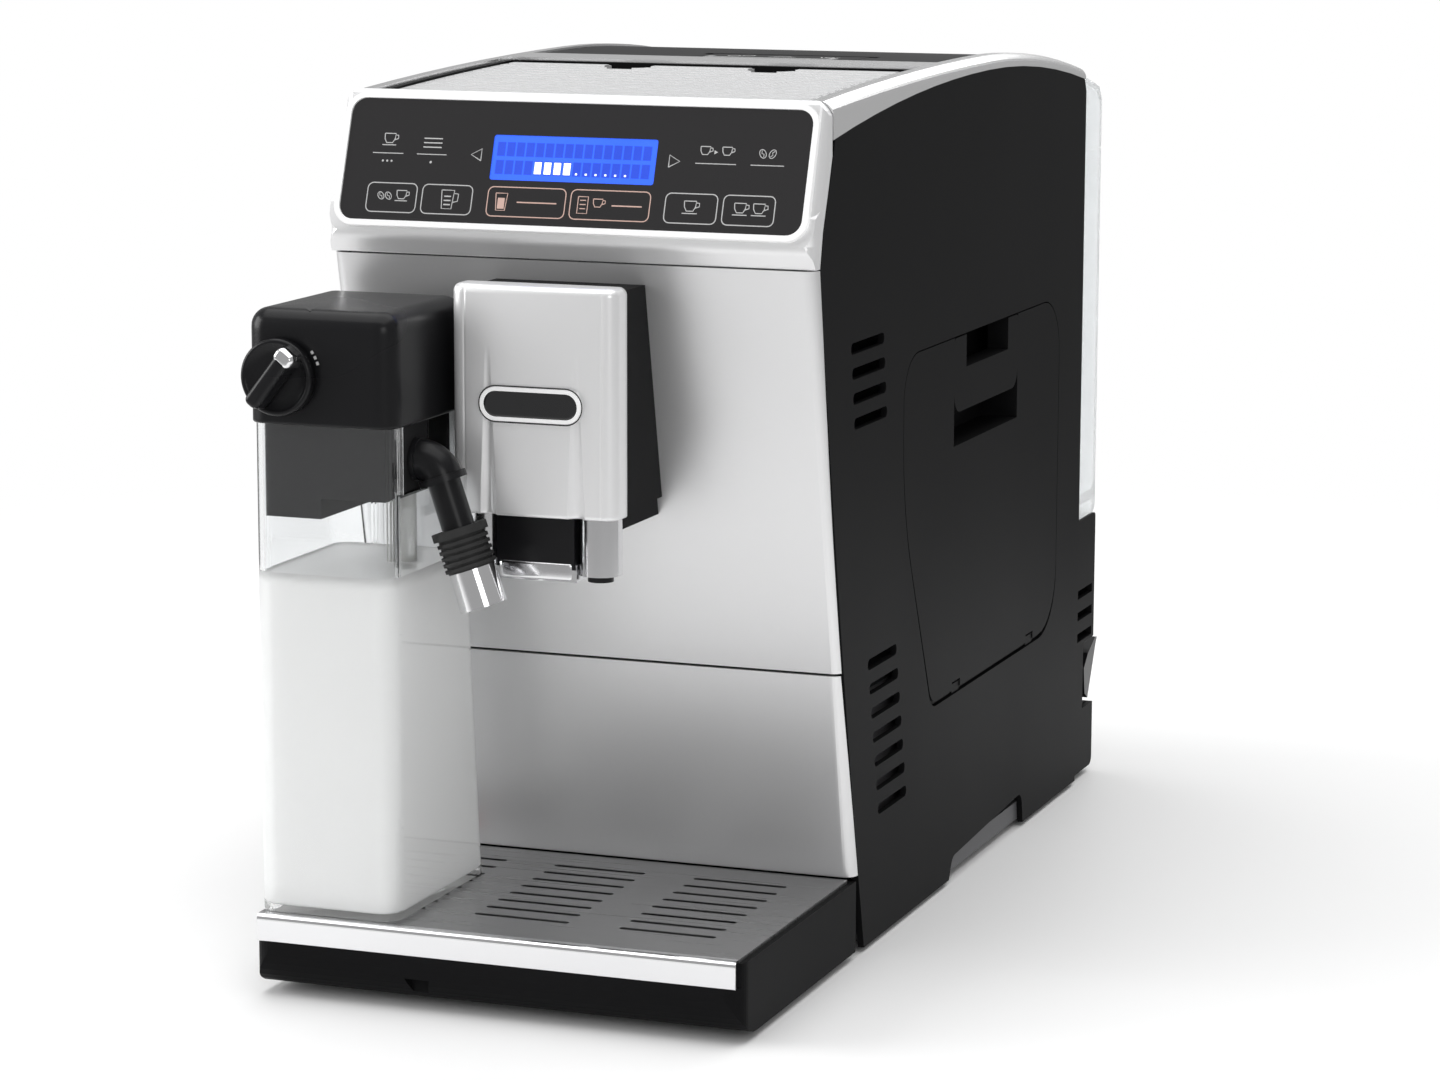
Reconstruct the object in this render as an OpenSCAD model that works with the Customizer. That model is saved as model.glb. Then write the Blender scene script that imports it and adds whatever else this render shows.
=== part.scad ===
// Compact bean-to-cup coffee machine with a docked milk carafe.
// X runs to the machine's right, Y to its back and Z up. The origin is on the worktop, under the
// middle of the whole machine.

/* [Overall] */
// Width over the two side panels
body_w = 195; // [190:1:205]
// Height of the highest point of the top trim
body_h = 340; // [336:1:348]
// Depth from the front of the drip tray to the back of the tank
body_d = 480; // [472:1:492]
// Thickness of the side panels
side_t = 2.5; // [2:0.1:3]
// Wall of the silver front shells
front_t = 2.5; // [2:0.1:3]
// Gap between pieces that move past each other
gap = 0.5; // [0.4:0.1:0.8]

/* [Front slope] */
// Distance of the side panel's front edge at the worktop behind the tray's front
foot_in = 141.2; // [138:0.2:144]
// Distance of the side panel's foremost point behind the tray's front
brow_in = 82.6; // [80:0.2:85]
// Height of the top above that foremost point
brow_drop = 67.8; // [64:0.2:72]
// Distance of the side panel's corner under the top trim behind the tray's front
shoulder_in = 98.6; // [96:0.2:101]
// How far the front edge bows forward between worktop and brow
edge_bow = 3; // [0:0.5:5]
// How far the silver front stands proud of the side panels
front_proud = 5; // [4:0.5:7]
// Height of the seam between grounds drawer and front panel
seam_z = 116; // [112:1:120]
// Radius of the silver front's upright edges
front_r = 5; // [3:0.5:6]

/* [Control panel] */
// Lean of the glass back from upright, degrees
glass_tilt = 19.4; // [17:0.2:22]
// Height of the top above the glass's lower edge
glass_drop = 53.6; // [51:0.2:56]
// Margin between the glass and the sides of the machine
glass_side = 4.5; // [4:0.5:8]
// Height of the glass along its slope
glass_h = 47.6; // [45:0.2:48]
// Corner radius of the glass
glass_r = 6; // [4:0.5:9]
// Width of the bright bezel round the glass
bezel_w = 2.2; // [1.5:0.1:2.5]
// Width of the display
lcd_w = 66; // [60:1:70]
// Height of the display
lcd_h = 17.4; // [15:0.2:20]

/* [Top] */
// Depth of the highest point of the top arch
peak_y = 60; // [50:1:70]
// Radius of the arch in front of its highest point
arch_front_r = 3600; // [3200:100:4200]
// Radius of the arch behind its highest point
arch_back_r = 830; // [780:5:900]
// Radius of the black side panels' top edge in front of its highest point
edge_front_r = 1420; // [1350:10:1500]
// Height of the silver band above the black side panel
trim_h = 5.4; // [5:0.2:8]
// Radius of the trim's outer edge
trim_r = 5; // [3:0.5:6]
// Width of the trim's rails
rail_w = 9; // [7:0.5:11]
// Depth where the shelf's recess ends and the bar before the lids begins
shelf_back = -10; // [-16:1:-6]
// Width of the bar between the shelf and the lids
bar_w = 24; // [22:1:26]
// Depth of the cup shelf below the trim
shelf_drop = 2; // [1.6:0.2:3]
// Width of the dark recess beside the cup shelf
shelf_side = 2.5; // [1:0.5:5]
// Number of ribs on the cup shelf
shelf_ribs = 13; // [8:1:18]

/* [Back] */
// Depth of the rear housing and the tank behind the side panels
rear_d = 34; // [31:0.5:37]
// Height of the rear housing, where the tank stands
rear_h = 121.5; // [115:0.5:128]
// Height of the top above the tank's rim
rim_drop = 51; // [46:1:58]
// Wall of the tank
tank_wall = 2.2; // [1.8:0.1:2.8]

/* [Service door] */
// Height of the door's lower edge
door_z0 = 81; // [76:0.5:86]
// Height of the top above the door's upper edge
door_drop = 111.4; // [106:0.2:118]
// Distance of the door's back edge from the back of the side panels
door_in = 38; // [30:1:46]
// Width of the handle recess
grip_w = 91; // [80:1:96]

/* [Coffee spout] */
// Width of the sliding cover
spout_w = 66; // [60:1:70]
// Distance of the sliding cover's front behind the tray's front
spout_in = 40; // [36:0.5:43]
// Height of the top above the cover in its highest position
spout_drop = 72.4; // [71:0.2:76]
// Height of the cover
spout_h = 85.4; // [80:0.2:90]
// Distance between the two coffee outlets
outlet_gap = 47; // [42:1:50]
// Diameter of a coffee nozzle
nozzle_d = 16; // [14:0.5:17]

/* [Drip tray] */
// Height of the cup grid's top
tray_z = 32.6; // [31:0.2:34]
// Height of the bright lip across the front
lip_h = 10.6; // [8:0.2:12]
// Radius of the tray's lower front edge
tray_r = 17; // [12:1:20]
// Drain slots in each column
slot_count = 8; // [5:1:9]
// Distance between drain slots
slot_pitch = 11.1; // [10:0.1:12]
// Width of a drain slot
slot_w = 2.8; // [2:0.1:3.5]

/* [Milk carafe] */
// Distance between the jug and the sliding cover's near side
jug_gap = 7; // [6:0.5:9]
// Distance of the jug's front behind the tray's front
jug_in = 4; // [2:0.5:8]
// Depth of the jug at the grid
jug_d = 86; // [80:0.5:88]
// Height of the top above the jug's rim
jug_drop = 122.6; // [118:0.2:128]
// Wall of the jug
jug_wall = 2.2; // [1.8:0.1:2.8]
// Height of the top above the carafe lid
lid_drop = 80; // [76:0.5:86]
// Diameter of the froth knob
knob_d = 29; // [25:1:32]
// Tilt of the milk tube from upright, degrees
milk_tilt = 19; // [14:1:24]
// Length of the milk spout from its elbow
milk_len = 56.5; // [50:0.5:60]

/* [Hidden] */

$fn = 48;
half_w = body_w / 2;
inner_w = body_w - 2 * side_t;
front_y = -body_d / 2;
back_y = body_d / 2;
side_back = back_y - rear_d;
foot_y = front_y + foot_in;
brow_y = front_y + brow_in;
shoulder_y = front_y + shoulder_in;
spout_y = front_y + spout_in;
jug_y0 = front_y + jug_in;
jug_y1 = jug_y0 + jug_d;
brow_z = body_h - brow_drop;
glass_z = body_h - glass_drop;
glass_w = body_w - 2 * glass_side;
tank_rim = body_h - rim_drop;
door_z1 = body_h - door_drop;
door_y1 = side_back - door_in;
spout_z1 = body_h - spout_drop;
jug_top = body_h - jug_drop;
lid_top = body_h - lid_drop;
foot_h = 3.5;
panel_z0 = 2;
arch_z = body_h;
black_z = body_h - trim_h;
eps = 0.01;

// ---- outlines in the upright Y-Z plane ----
// Height of the top arch above a depth y, for an arch whose highest point is at z
function arch(y, z, front_r = arch_front_r) = z - pow(y - peak_y, 2) / 2 / (y < peak_y ? front_r : arch_back_r);
// Height of the black side panels' top edge above a depth y
function edge_top(y) = arch(y, black_z, edge_front_r);
// Depth of the side panel's front edge at a height z: a straight lean with a slight forward bow
function edge_y(z) = let (t = z / brow_z) foot_y + (brow_y - foot_y) * t - edge_bow * 4 * t * (1 - t);
// Depth of the silver front's face at a height z, straight from seam to seam
face_low = [edge_y(tray_z) - front_proud - 1, tray_z + gap];
face_mid = [edge_y(seam_z) - front_proud + 2.5, seam_z];
face_top = [brow_y - front_proud - 0.4, brow_z + 1];
function mix(a, b, t) = a + (b - a) * t;
function face_y(z) = mix(face_mid[0], face_top[0], (z - seam_z) / (face_top[1] - seam_z));
glass_y = face_top[0] - 3.6;
glass_up = [sin(glass_tilt), cos(glass_tilt)];
glass_back = [glass_y + glass_h * glass_up[0], glass_z + glass_h * glass_up[1]];
shelf_front = glass_back[0] + 7;

// Arc that rounds the corner b between the legs to a and c with radius r
function corner_arc(a, b, c, r, n = 8) =
    let (u = (a - b) / norm(a - b), v = (c - b) / norm(c - b), half = acos(u * v) / 2,
         m = b + (u + v) / norm(u + v) * r / sin(half), s = b + u * r / tan(half) - m,
         e = b + v * r / tan(half) - m, a0 = atan2(s[1], s[0]), d = atan2(e[1], e[0]) - a0,
         sweep = d > 180 ? d - 360 : d < -180 ? d + 360 : d)
    [for (i = [0:n]) m + r * [cos(a0 + sweep * i / n), sin(a0 + sweep * i / n)]];
// Closed outline of [x, y, radius] corners with every corner rounded to its radius
function rounded(p, n = 8) = [for (i = [0:len(p) - 1]) let (a = p[(i + len(p) - 1) % len(p)], b = p[i],
    c = p[(i + 1) % len(p)]) each (b[2] > 0
        ? corner_arc([a[0], a[1]], [b[0], b[1]], [c[0], c[1]], b[2], n) : [[b[0], b[1]]])];
// Rounded rectangle about the origin
function box_outline(w, h, r, n = 8) = rounded([[-w / 2, -h / 2, r], [w / 2, -h / 2, r],
    [w / 2, h / 2, r], [-w / 2, h / 2, r]], n);
// Rectangle from y 0 to y d, with only its two front corners rounded
function front_outline(w, d, r) = rounded([[-w / 2, 0, r], [w / 2, 0, r], [w / 2, d, 0], [-w / 2, d, 0]]);

// ---- shared shapes ----
module along_x(x0, x1) translate([x0, 0, 0]) rotate([90, 0, 90]) linear_extrude(x1 - x0) children();
module block(x0, x1, y0, y1, z0, z1) translate([x0, y0, z0]) cube([x1 - x0, y1 - y0, z1 - z0]);
module both_sides() { children(); mirror([1, 0, 0]) children(); }
// Upright bar whose outline leans from the Y-Z point p to q, with rounded front edges
module lean_bar(p, q, w, d, r, over = 0) translate([0, p[0], p[1]])
    rotate([atan2(p[0] - q[0], q[1] - p[1]), 0, 0]) translate([0, 0, -over])
    linear_extrude(norm(q - p) + 2 * over) polygon(front_outline(w, d, r));
// Frame on the glass: X across, Y up the slope, Z out of the glass
module on_glass() translate([0, glass_y, glass_z]) rotate([90 - glass_tilt, 0, 0]) children();
module rod_x(x0, x1, y, z, d) translate([x0, y, z]) rotate([0, 90, 0]) cylinder(d = d, h = x1 - x0);
module rod_y(x, y0, y1, z, d) translate([x, y0, z]) rotate([-90, 0, 0]) cylinder(d = d, h = y1 - y0);

// ---- side panels ----
side_outline = concat(
    [for (i = [0:8]) let (z = mix(panel_z0, brow_z, i / 8)) [edge_y(z), z]],
    [[brow_y + 3.4, brow_z + 15], [brow_y + 9.1, brow_z + 29.4], [shoulder_y - 1.5, edge_top(shoulder_y) - 5]],
    [for (i = [0:14]) let (y = mix(shoulder_y, side_back - 3, i / 14)) [y, edge_top(y)]],
    [[side_back, edge_top(side_back) - 5], [side_back, panel_z0]]);
notch_y0 = 9;
notch_y1 = 122.8;
notch_h = 14;
module side_blank() along_x(half_w - side_t, half_w) difference() {
    polygon(side_outline);
    polygon(rounded([[notch_y0, -5, 0], [notch_y1, -5, 0], [notch_y1 - 4, panel_z0 + notch_h, 6],
        [notch_y0 + 8, panel_z0 + notch_h - 5, 6]]));
}
// Rows of slanted louvre slots, each row shifted back like the front edge
louvre_h = 4.4;
module louvres(y0, len0, z0, count, pitch, shift) for (i = [0:count - 1])
    translate([0, y0 + shift * i, z0 - pitch * i])
    along_x(half_w - side_t - 1, half_w + 1) translate([len0 / 2, 0])
        polygon(box_outline(len0, louvre_h, louvre_h / 2 - 0.05, 4));
module side_louvres() {
    louvres(brow_y + 36.4, 40, brow_z - 32.5, 4, 9.7, 1.5);
    louvres(foot_y + 1.2, 36, seam_z - 2, 7, 10.05, 2.4);
}
// Outline of the door, its lower edge raised by up, or grown by a margin
door_y0 = foot_y + 43.8;
module door_shape(up = 0, by = 0) polygon(rounded([[door_y0 - by, door_z1 + by, 18 + by],
    [door_y0 - by, mix(door_z0, door_z1, 0.59) - by / 4, 0.9 * (door_z1 - door_z0) + by], [door_y0 + 40 - by, door_z0 + up - 1.4 * by, 10 + by],
    [door_y1 + by, door_z0 + up - 1.4 * by, 26 + by], [door_y1 + by, door_z1 + by, 24 + by]]));
hinges_y = [door_y0 + 69, door_y1 - 46];
pin_d = 1.5;
pin_x = half_w - 1.3;
pin_z = door_z0 + 2.2;
module door_hole() along_x(half_w - side_t - 1, half_w + 1) door_shape(0, gap);
module left_side_panel() color([0.07, 0.07, 0.075]) mirror([1, 0, 0]) difference() {
    side_blank();
    side_louvres();
}
module right_side_panel() color([0.07, 0.07, 0.075]) difference() {
    side_blank();
    side_louvres();
    door_hole();
}

// ---- service door ----
grip_y0 = 11.7;
grip_z0 = door_z1 - 44.6;
grip_depth = 16;
module door_pocket() block(half_w - grip_depth, half_w + 1, grip_y0, grip_y0 + grip_w, grip_z0, door_z1 + 1);
module service_door() color([0.08, 0.08, 0.085]) difference() {
    union() {
        // plate whose lower outer edge steps back, so that it can swing past the panel
        along_x(half_w - side_t, half_w - 1.2) door_shape();
        along_x(half_w - 1.3, half_w - 0.6) door_shape(0.7);
        along_x(half_w - 0.7, half_w) door_shape(1.3);
        // pocket shell behind the handle
        block(half_w - grip_depth - 2, half_w - side_t + eps, grip_y0 - 2, grip_y0 + grip_w + 2,
            grip_z0 - 2, door_z1 - 1.6);
        // bosses that take the hinge pins
        for (y = hinges_y) block(pin_x - 2.6, half_w - 1.5, y - 6, y + 16, door_z0 + 0.1, door_z0 + 5);
    }
    door_pocket();
    for (y = hinges_y) {
        block(half_w - 6, half_w + 1, y - 0.5, y + 10.5, door_z0 - 1, door_z0 + 4.6);
        rod_y(pin_x, y - 4.5, y + 14.5, pin_z, pin_d + 0.1);
    }
}
module door_handle() color([0.1, 0.1, 0.105]) difference() {
    along_x(half_w - 9, half_w) polygon(rounded([[grip_y0, door_z1 - 31.1, 8], [grip_y0 + grip_w, door_z1 - 31.1, 8],
        [grip_y0 + grip_w, door_z1 - 0.2, 2], [grip_y0, door_z1 - 0.2, 2]]));
    block(half_w - 20, half_w + 1, grip_y0 + 16.3, grip_y0 + grip_w - 14.7, door_z1 - 13.6, door_z1 + 1);
}
module door_pins() color("silver") for (y = hinges_y) {
    block(half_w - side_t - 2, half_w - side_t, y, y + 10, door_z0 - 12, door_z0 + 3.6);
    block(half_w - side_t - 1, half_w - 0.4, y, y + 10, door_z0, door_z0 + 3.6);
    rod_y(pin_x, y - 4, y + 14, pin_z, pin_d);
}

// ---- front shells ----
// Filled Y-Z region between a front face through points p and the side panels' front edge
module front_region(p, z0, z1, back = 0) polygon(concat(p,
    [for (i = [0:6]) let (z = mix(z1, z0, i / 6)) [edge_y(z) - back, z]]));
module front_panel() color([0.78, 0.79, 0.8]) {
    difference() {
        intersection() {
            along_x(-half_w, half_w) front_region([face_mid + [0, gap], face_top], seam_z + gap, face_top[1], 0.1);
            lean_bar(face_mid, face_top, body_w, 30, front_r, 5);
        }
        along_x(-half_w + side_t + 2, half_w - side_t - 2) translate([front_t, 0])
            front_region([face_mid + [0, gap - 1], face_top + [0, 1]], seam_z - 1, face_top[1] + 1);
        // seat of the steam nozzle
        rod_y(steam_x, face_y(steam_z) - 9, face_y(steam_z) + 9, steam_z, 10);
        rod_y(steam_x, face_y(steam_z) + 2, face_y(steam_z) + 9, steam_z, 26);
    }
    // return flanges that hold the shell between the side panels
    both_sides() along_x(half_w - side_t - 2, half_w - side_t) polygon([[face_y(seam_z + 2) + 3, seam_z + 2],
        [face_y(brow_z) + 3, brow_z], [face_y(brow_z) + 22, brow_z], [face_y(seam_z + 2) + 22, seam_z + 2]]);
}
fascia_outline = rounded([[edge_y(face_top[1] + gap), face_top[1] + gap, 0], [face_top[0], face_top[1] + gap, 1],
    [glass_y - 0.4, glass_z - 5, 7], [glass_back[0] + 1.5, glass_back[1] + 3.7, 2.5],
    [shelf_front - 1, arch(shelf_front, arch_z), 0], [shelf_front - 1, edge_top(shelf_front) - 4, 0],
    [shoulder_y - 3, edge_top(shoulder_y) - 6, 0], [brow_y + 8.4, brow_z + 29.4, 0], [brow_y + 2.7, brow_z + 15, 0]]);
module fascia_block(w) intersection() {
    along_x(-w / 2 - 1, w / 2 + 1) polygon(fascia_outline);
    union() {
        lean_bar([face_top[0] + 0.5, face_top[1]], [glass_y, glass_z - 4], w, 50, front_r, 8);
        lean_bar([glass_y, glass_z - 4], glass_back, w, 50, front_r, 12);
    }
    translate([0, 0, glass_z - 26.4]) rotate([90, 0, 0]) translate([0, 0, -100]) linear_extrude(400)
        polygon(rounded([[-w / 2 - 0.5, 0, 0], [w / 2 + 0.5, 0, 0], [w / 2 + 0.5, glass_back[1] + 30.3 - glass_z, 9.5],
            [-w / 2 - 0.5, glass_back[1] + 30.3 - glass_z, 9.5]]));
}
module fascia() color([0.8, 0.81, 0.82]) {
    fascia_shell();
    // lugs on the inside of the side panels
    both_sides() block(inner_w / 2 - 4, inner_w / 2, brow_y + 1, shoulder_y + 4, glass_z + 2, glass_z + 12);
}
module fascia_shell() difference() {
    fascia_block(body_w);
    // hollow behind the face
    along_x(-inner_w / 2 + 2, inner_w / 2 - 2) polygon([[face_top[0] + 5, face_top[1]], [glass_y + 8, glass_z - 3],
        [glass_back[0] + 4, glass_back[1] - 3], [glass_back[0] + 40, glass_back[1] - 3], [glass_back[0] + 40, face_top[1]]]);
    // seat for the bezel and the glass
    on_glass() translate([0, glass_h / 2, -7]) linear_extrude(20)
        polygon(box_outline(glass_w + 2 * bezel_w, glass_h + 2 * bezel_w, glass_r + bezel_w));
}
module bezel_ring() color([0.9, 0.9, 0.92]) on_glass() translate([0, glass_h / 2, -3]) difference() {
    linear_extrude(3.8) polygon(box_outline(glass_w + 2 * bezel_w, glass_h + 2 * bezel_w, glass_r + bezel_w));
    translate([0, 0, -1]) linear_extrude(8) polygon(box_outline(glass_w, glass_h, glass_r));
}
lcd_v = 26;
module control_glass() color([0.05, 0.05, 0.06]) on_glass() difference() {
    translate([0, glass_h / 2, -3]) linear_extrude(3) polygon(box_outline(glass_w, glass_h, glass_r));
    translate([0, lcd_v, -4]) linear_extrude(8) polygon(box_outline(lcd_w, lcd_h, 1));
}
module lcd_display() color([0.1, 0.25, 0.9]) on_glass() translate([0, lcd_v, 0]) {
    translate([0, 0, -3]) linear_extrude(2.8) polygon(box_outline(lcd_w, lcd_h, 1));
    translate([0, 0, -7]) linear_extrude(4) polygon(box_outline(lcd_w + 12, lcd_h + 8, 1));
}

// ---- top ----
lid_front = shelf_back + bar_w;
lid_back = side_back - 6;
lid_half = half_w - rail_w - 1;
trim_depth = 12;
// Band under the arch between x0 and x1, of an even depth
module arch_band(x0, x1, y0, y1, top, depth) along_x(x0, x1) polygon(concat(
    [for (i = [0:20]) let (y = mix(y0, y1, i / 20)) [y, arch(y, top)]],
    [for (i = [0:20]) let (y = mix(y1, y0, i / 20)) [y, arch(y, top - depth)]]));
// Bar with rounded upper edges, turned from the arch's highest point to the depth y about one arc's centre
module arc_bar(y, r) translate([0, peak_y, arch_z - r]) rotate([90, 0, 90]) rotate([0, 0, 90])
    rotate_extrude(angle = -asin((y - peak_y) / r), $fn = 720) translate([r, 0]) polygon(rounded([[-30, -half_w, 0],
        [0, -half_w, trim_r], [0, half_w, trim_r], [-30, half_w, 0]]));
// Whole top between two depths, its underside following the side panels
module arch_blank(y0, y1) difference() {
    union() {
        arc_bar(y0, arch_front_r);
        arc_bar(y1, arch_back_r);
    }
    along_x(-half_w - 1, half_w + 1) polygon(concat([for (k = [0:20]) let (y = mix(y0 - 2, y1 + 2, k / 20))
        [y, edge_top(y) - 4]], [[y1 + 2, body_h - 90], [y0 - 2, body_h - 90]]));
}
module top_trim() color([0.82, 0.83, 0.84]) difference() {
    arch_blank(shelf_front - 0.5, side_back);
    // shelf opening and lid opening
    block(-half_w + rail_w, half_w - rail_w, shelf_front + 1, shelf_back, body_h - 60, body_h + 5);
    block(-lid_half - gap, lid_half + gap, lid_front - gap, lid_back + gap, body_h - 60, body_h + 5);
    lid_pins(-lid_half - 0.5, lid_half + 0.5, lid_back, 2.5);
    // seat over the black side panels
    both_sides() along_x(half_w - side_t - 0.1, half_w + 1) polygon(concat(
        [for (i = [0:14]) let (y = mix(shelf_front - 3, side_back + 1, i / 14)) [y, edge_top(y)]],
        [[side_back + 1, 250], [shelf_front - 3, 250]]));
}
well_half = half_w - rail_w - 0.3;
shelf_half = well_half - shelf_side;
shelf_y1 = shelf_back - 7;
// Dark recess round and under the cup shelf, on two skirts that stand on the deck
module shelf_well() color([0.07, 0.07, 0.075]) {
    difference() {
        arch_band(-well_half, well_half, shelf_front + 1.3, shelf_back - 0.3, arch_z - 1.2, shelf_drop + 4);
        arch_band(-well_half + 2, well_half - 2, shelf_front + 3.3, shelf_back - 2.3, arch_z + 1,
            shelf_drop + 4.1);
    }
    // pads that carry the shelf
    for (x = [-60, 60], y = [shelf_front + 22, shelf_y1 - 22])
        arch_band(x - 4, x + 4, y - 4, y + 4, arch_z - shelf_drop - 3.005, 1);
    both_sides() along_x(well_half - 3.5, well_half - 0.5) polygon([[shelf_front + 6, deck_z],
        [shelf_back - 6, deck_z], [shelf_back - 6, arch(shelf_back - 6, arch_z) - shelf_drop - 4.1],
        [shelf_front + 6, arch(shelf_front + 6, arch_z) - shelf_drop - 4.1]]);
}
module cup_shelf() color([0.85, 0.86, 0.87]) difference() {
    union() {
        arch_band(-shelf_half, shelf_half, shelf_front + 5, shelf_y1, arch_z - shelf_drop, 3);
        for (i = [0:shelf_ribs - 1]) let (y = mix(shelf_front + 11, shelf_y1 - 5, i / (shelf_ribs - 1)))
            translate([0, y, arch(y, arch_z - shelf_drop) - 0.6])
            block(-shelf_half + 3, shelf_half - 3, -2.6, 2.6, 0, 1.2);
    }
    // rounded notches that part the back edge into three lobes
    for (x = [-0.36 * shelf_half, 0.36 * shelf_half]) translate([x, shelf_y1 - 17, body_h - 30])
        linear_extrude(60) polygon(front_outline(20, 30, 6));
    // rounded outer corners at the back
    both_sides() translate([shelf_half, shelf_y1, body_h - 30]) linear_extrude(60)
        polygon(concat([[1, 1]], [[1, -6], [0, -6]], [for (a = [15:15:75]) [-6 + 6 * cos(a), -6 + 6 * sin(a)]],
            [[-6, 0], [-6, 1]]));
}
lid_t = 5;
powder_x0 = -20;
powder_x1 = 48;
powder_back = lid_front + 36;
lid_r = lid_t / 2;
lug_top = arch(powder_back, arch_z) - 1.5;
module lid_plate(x0, x1, y0, y1) {
    intersection() {
        arch_band(x0, x1, y0, y1 - lid_r, arch_z - 1, lid_t);
        translate([(x0 + x1) / 2, (y0 + y1) / 2, body_h - 60]) linear_extrude(80)
            polygon(box_outline(x1 - x0, y1 - y0, 3));
    }
    rod_x(x0 + 2, x1 - 2, y1 - lid_r, arch(y1 - lid_r, arch_z - 1) - lid_r, lid_t - 0.1);
}
module lid_pins(x0, x1, y1, d) rod_x(x0 - 2, x1 + 2, y1 - lid_r, arch(y1 - lid_r, arch_z - 1) - lid_r, d);
module bean_lid() color([0.25, 0.25, 0.26]) difference() {
    union() {
        lid_plate(-lid_half, lid_half, lid_front, lid_back);
        lid_pins(-lid_half, lid_half, lid_back, 2.4);
    }
    block(powder_x0 - gap, powder_x1 + gap, lid_front - 1, powder_back + gap, body_h - 60, body_h + 5);
    // notches for the lugs of the powder lid
    block(powder_x0 - 4, powder_x1 + 4, powder_back - 5.5, powder_back + gap, body_h - 60, body_h + 5);
}
module powder_lid() color([0.22, 0.22, 0.23]) difference() {
    union() {
        lid_plate(powder_x0, powder_x1, lid_front, powder_back);
        lid_pins(powder_x0, powder_x1, powder_back, 2.4);
    }
    block(powder_x0 + 6, powder_x1 - 6, lid_front + 3, lid_front + 11, body_h - 4.5, body_h + 5);
}
module powder_handle() color([0.9, 0.9, 0.9]) difference() {
    block(powder_x0 + 6, powder_x1 - 6, lid_front + 3, lid_front + 11, body_h - 4.5, body_h - 0.4);
    block(powder_x0 + 9, powder_x1 - 9, lid_front + 6.2, lid_front + 12, body_h - 2.6, body_h + 5);
}

// ---- inside ----
deck_z = body_h - 56;
bulk_y = 6;
module chassis() color([0.3, 0.3, 0.32]) {
    // bulkhead behind the grounds drawer
    difference() {
        block(-inner_w / 2, inner_w / 2, bulk_y, bulk_y + 3, foot_h + 8, deck_z);
        block(-inner_w / 2 + 14, inner_w / 2 - 14, bulk_y - 1, bulk_y + 4, foot_h + 30, deck_z - 30);
        block(inner_w / 2 - 3, inner_w / 2 + 1, bulk_y - 1, bulk_y + 4, door_z0 - 4, door_z1 + 4);
    }
    // deck that carries the hopper and the shelf
    difference() {
        block(-inner_w / 2, inner_w / 2, shelf_front + 4, side_back - 4, deck_z - 3, deck_z);
        translate([grinder_x, grinder_y, deck_z - 10]) cylinder(d = grinder_d + 1, h = 20);
        block(powder_x0 + 6, powder_x1 - 6, lid_front + 4, powder_back - 6, deck_z - 10, deck_z + 5);
    }
    // rear wall in front of the tank
    difference() {
        block(-inner_w / 2, inner_w / 2, side_back - 4, side_back - 1, foot_h + 8, arch(side_back, arch_z) - trim_depth - 1);
        rod_y(0, side_back - 6, side_back, rear_h - 10, 12);
    }
}
module base_pan() color([0.12, 0.12, 0.12]) difference() {
    block(-inner_w / 2, inner_w / 2, foot_y + 3, side_back - 0.5, foot_h, foot_h + 8);
    block(-inner_w / 2 + 2.5, inner_w / 2 - 2.5, foot_y + 5.5, side_back - 3, foot_h + 2, foot_h + 9);
    block(-inner_w / 2 + 2.5, inner_w / 2 - 2.5, foot_y + 2, foot_y + 10, foot_h + 2, foot_h + 9);
}
module feet() color([0.05, 0.05, 0.05]) for (x = [-half_w + 19.5, half_w - 19.5], y = [foot_y + 18, side_back - 22])
    translate([x, y, 0]) rotate_extrude() polygon([[0, 0], [8, 0], [9, 1], [9, foot_h], [0, foot_h]]);

hopper_y0 = powder_back + 6;
hopper_y1 = side_back - 10;
grinder_x = -35;
grinder_y = hopper_y1 - 46;
grinder_d = 72;
hopper_top = arch(lid_back, arch_z) - 1 - lid_t - 4;
module bean_hopper() color([0.15, 0.15, 0.16]) {
    hopper_shell();
    translate([dial_x, dial_y, deck_z + 7]) cylinder(d = 4.9, h = 6);
}
module hopper_shell() difference() {
    union() {
        block(-lid_half + 2, lid_half - 2, hopper_y0, hopper_y1, deck_z, hopper_top);
        translate([grinder_x, grinder_y, deck_z - 4]) cylinder(d = grinder_d - 6, h = 5);
    }
    block(-lid_half + 4.5, lid_half - 32, hopper_y0 + 2.5, hopper_y1 - 2.5, deck_z + 8, hopper_top + 1);
    translate([grinder_x, grinder_y, deck_z + 1.5]) cylinder(d1 = 44, d2 = 60, h = 7);
    translate([grinder_x, grinder_y, deck_z - 5]) cylinder(d = 44, h = 12);
    // bay of the grind dial
    block(lid_half - 29.5, lid_half - 4.5, hopper_y0 + 2.5, hopper_y1 - 2.5, deck_z + 8, hopper_top + 1);
}
dial_x = lid_half - 17;
dial_y = grinder_y;
module grind_dial() color([0.1, 0.1, 0.1]) translate([dial_x, dial_y, deck_z + 8.5]) difference() {
    union() {
        cylinder(d = 22, h = 8);
        translate([0, 0, 8]) cylinder(d = 16, h = 6);
    }
    for (a = [0:30:330]) rotate(a) translate([11.4, 0, -1]) cylinder(d = 2.4, h = 12);
    translate([0, 0, -1]) cylinder(d = 5, h = 6);
}
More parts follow.
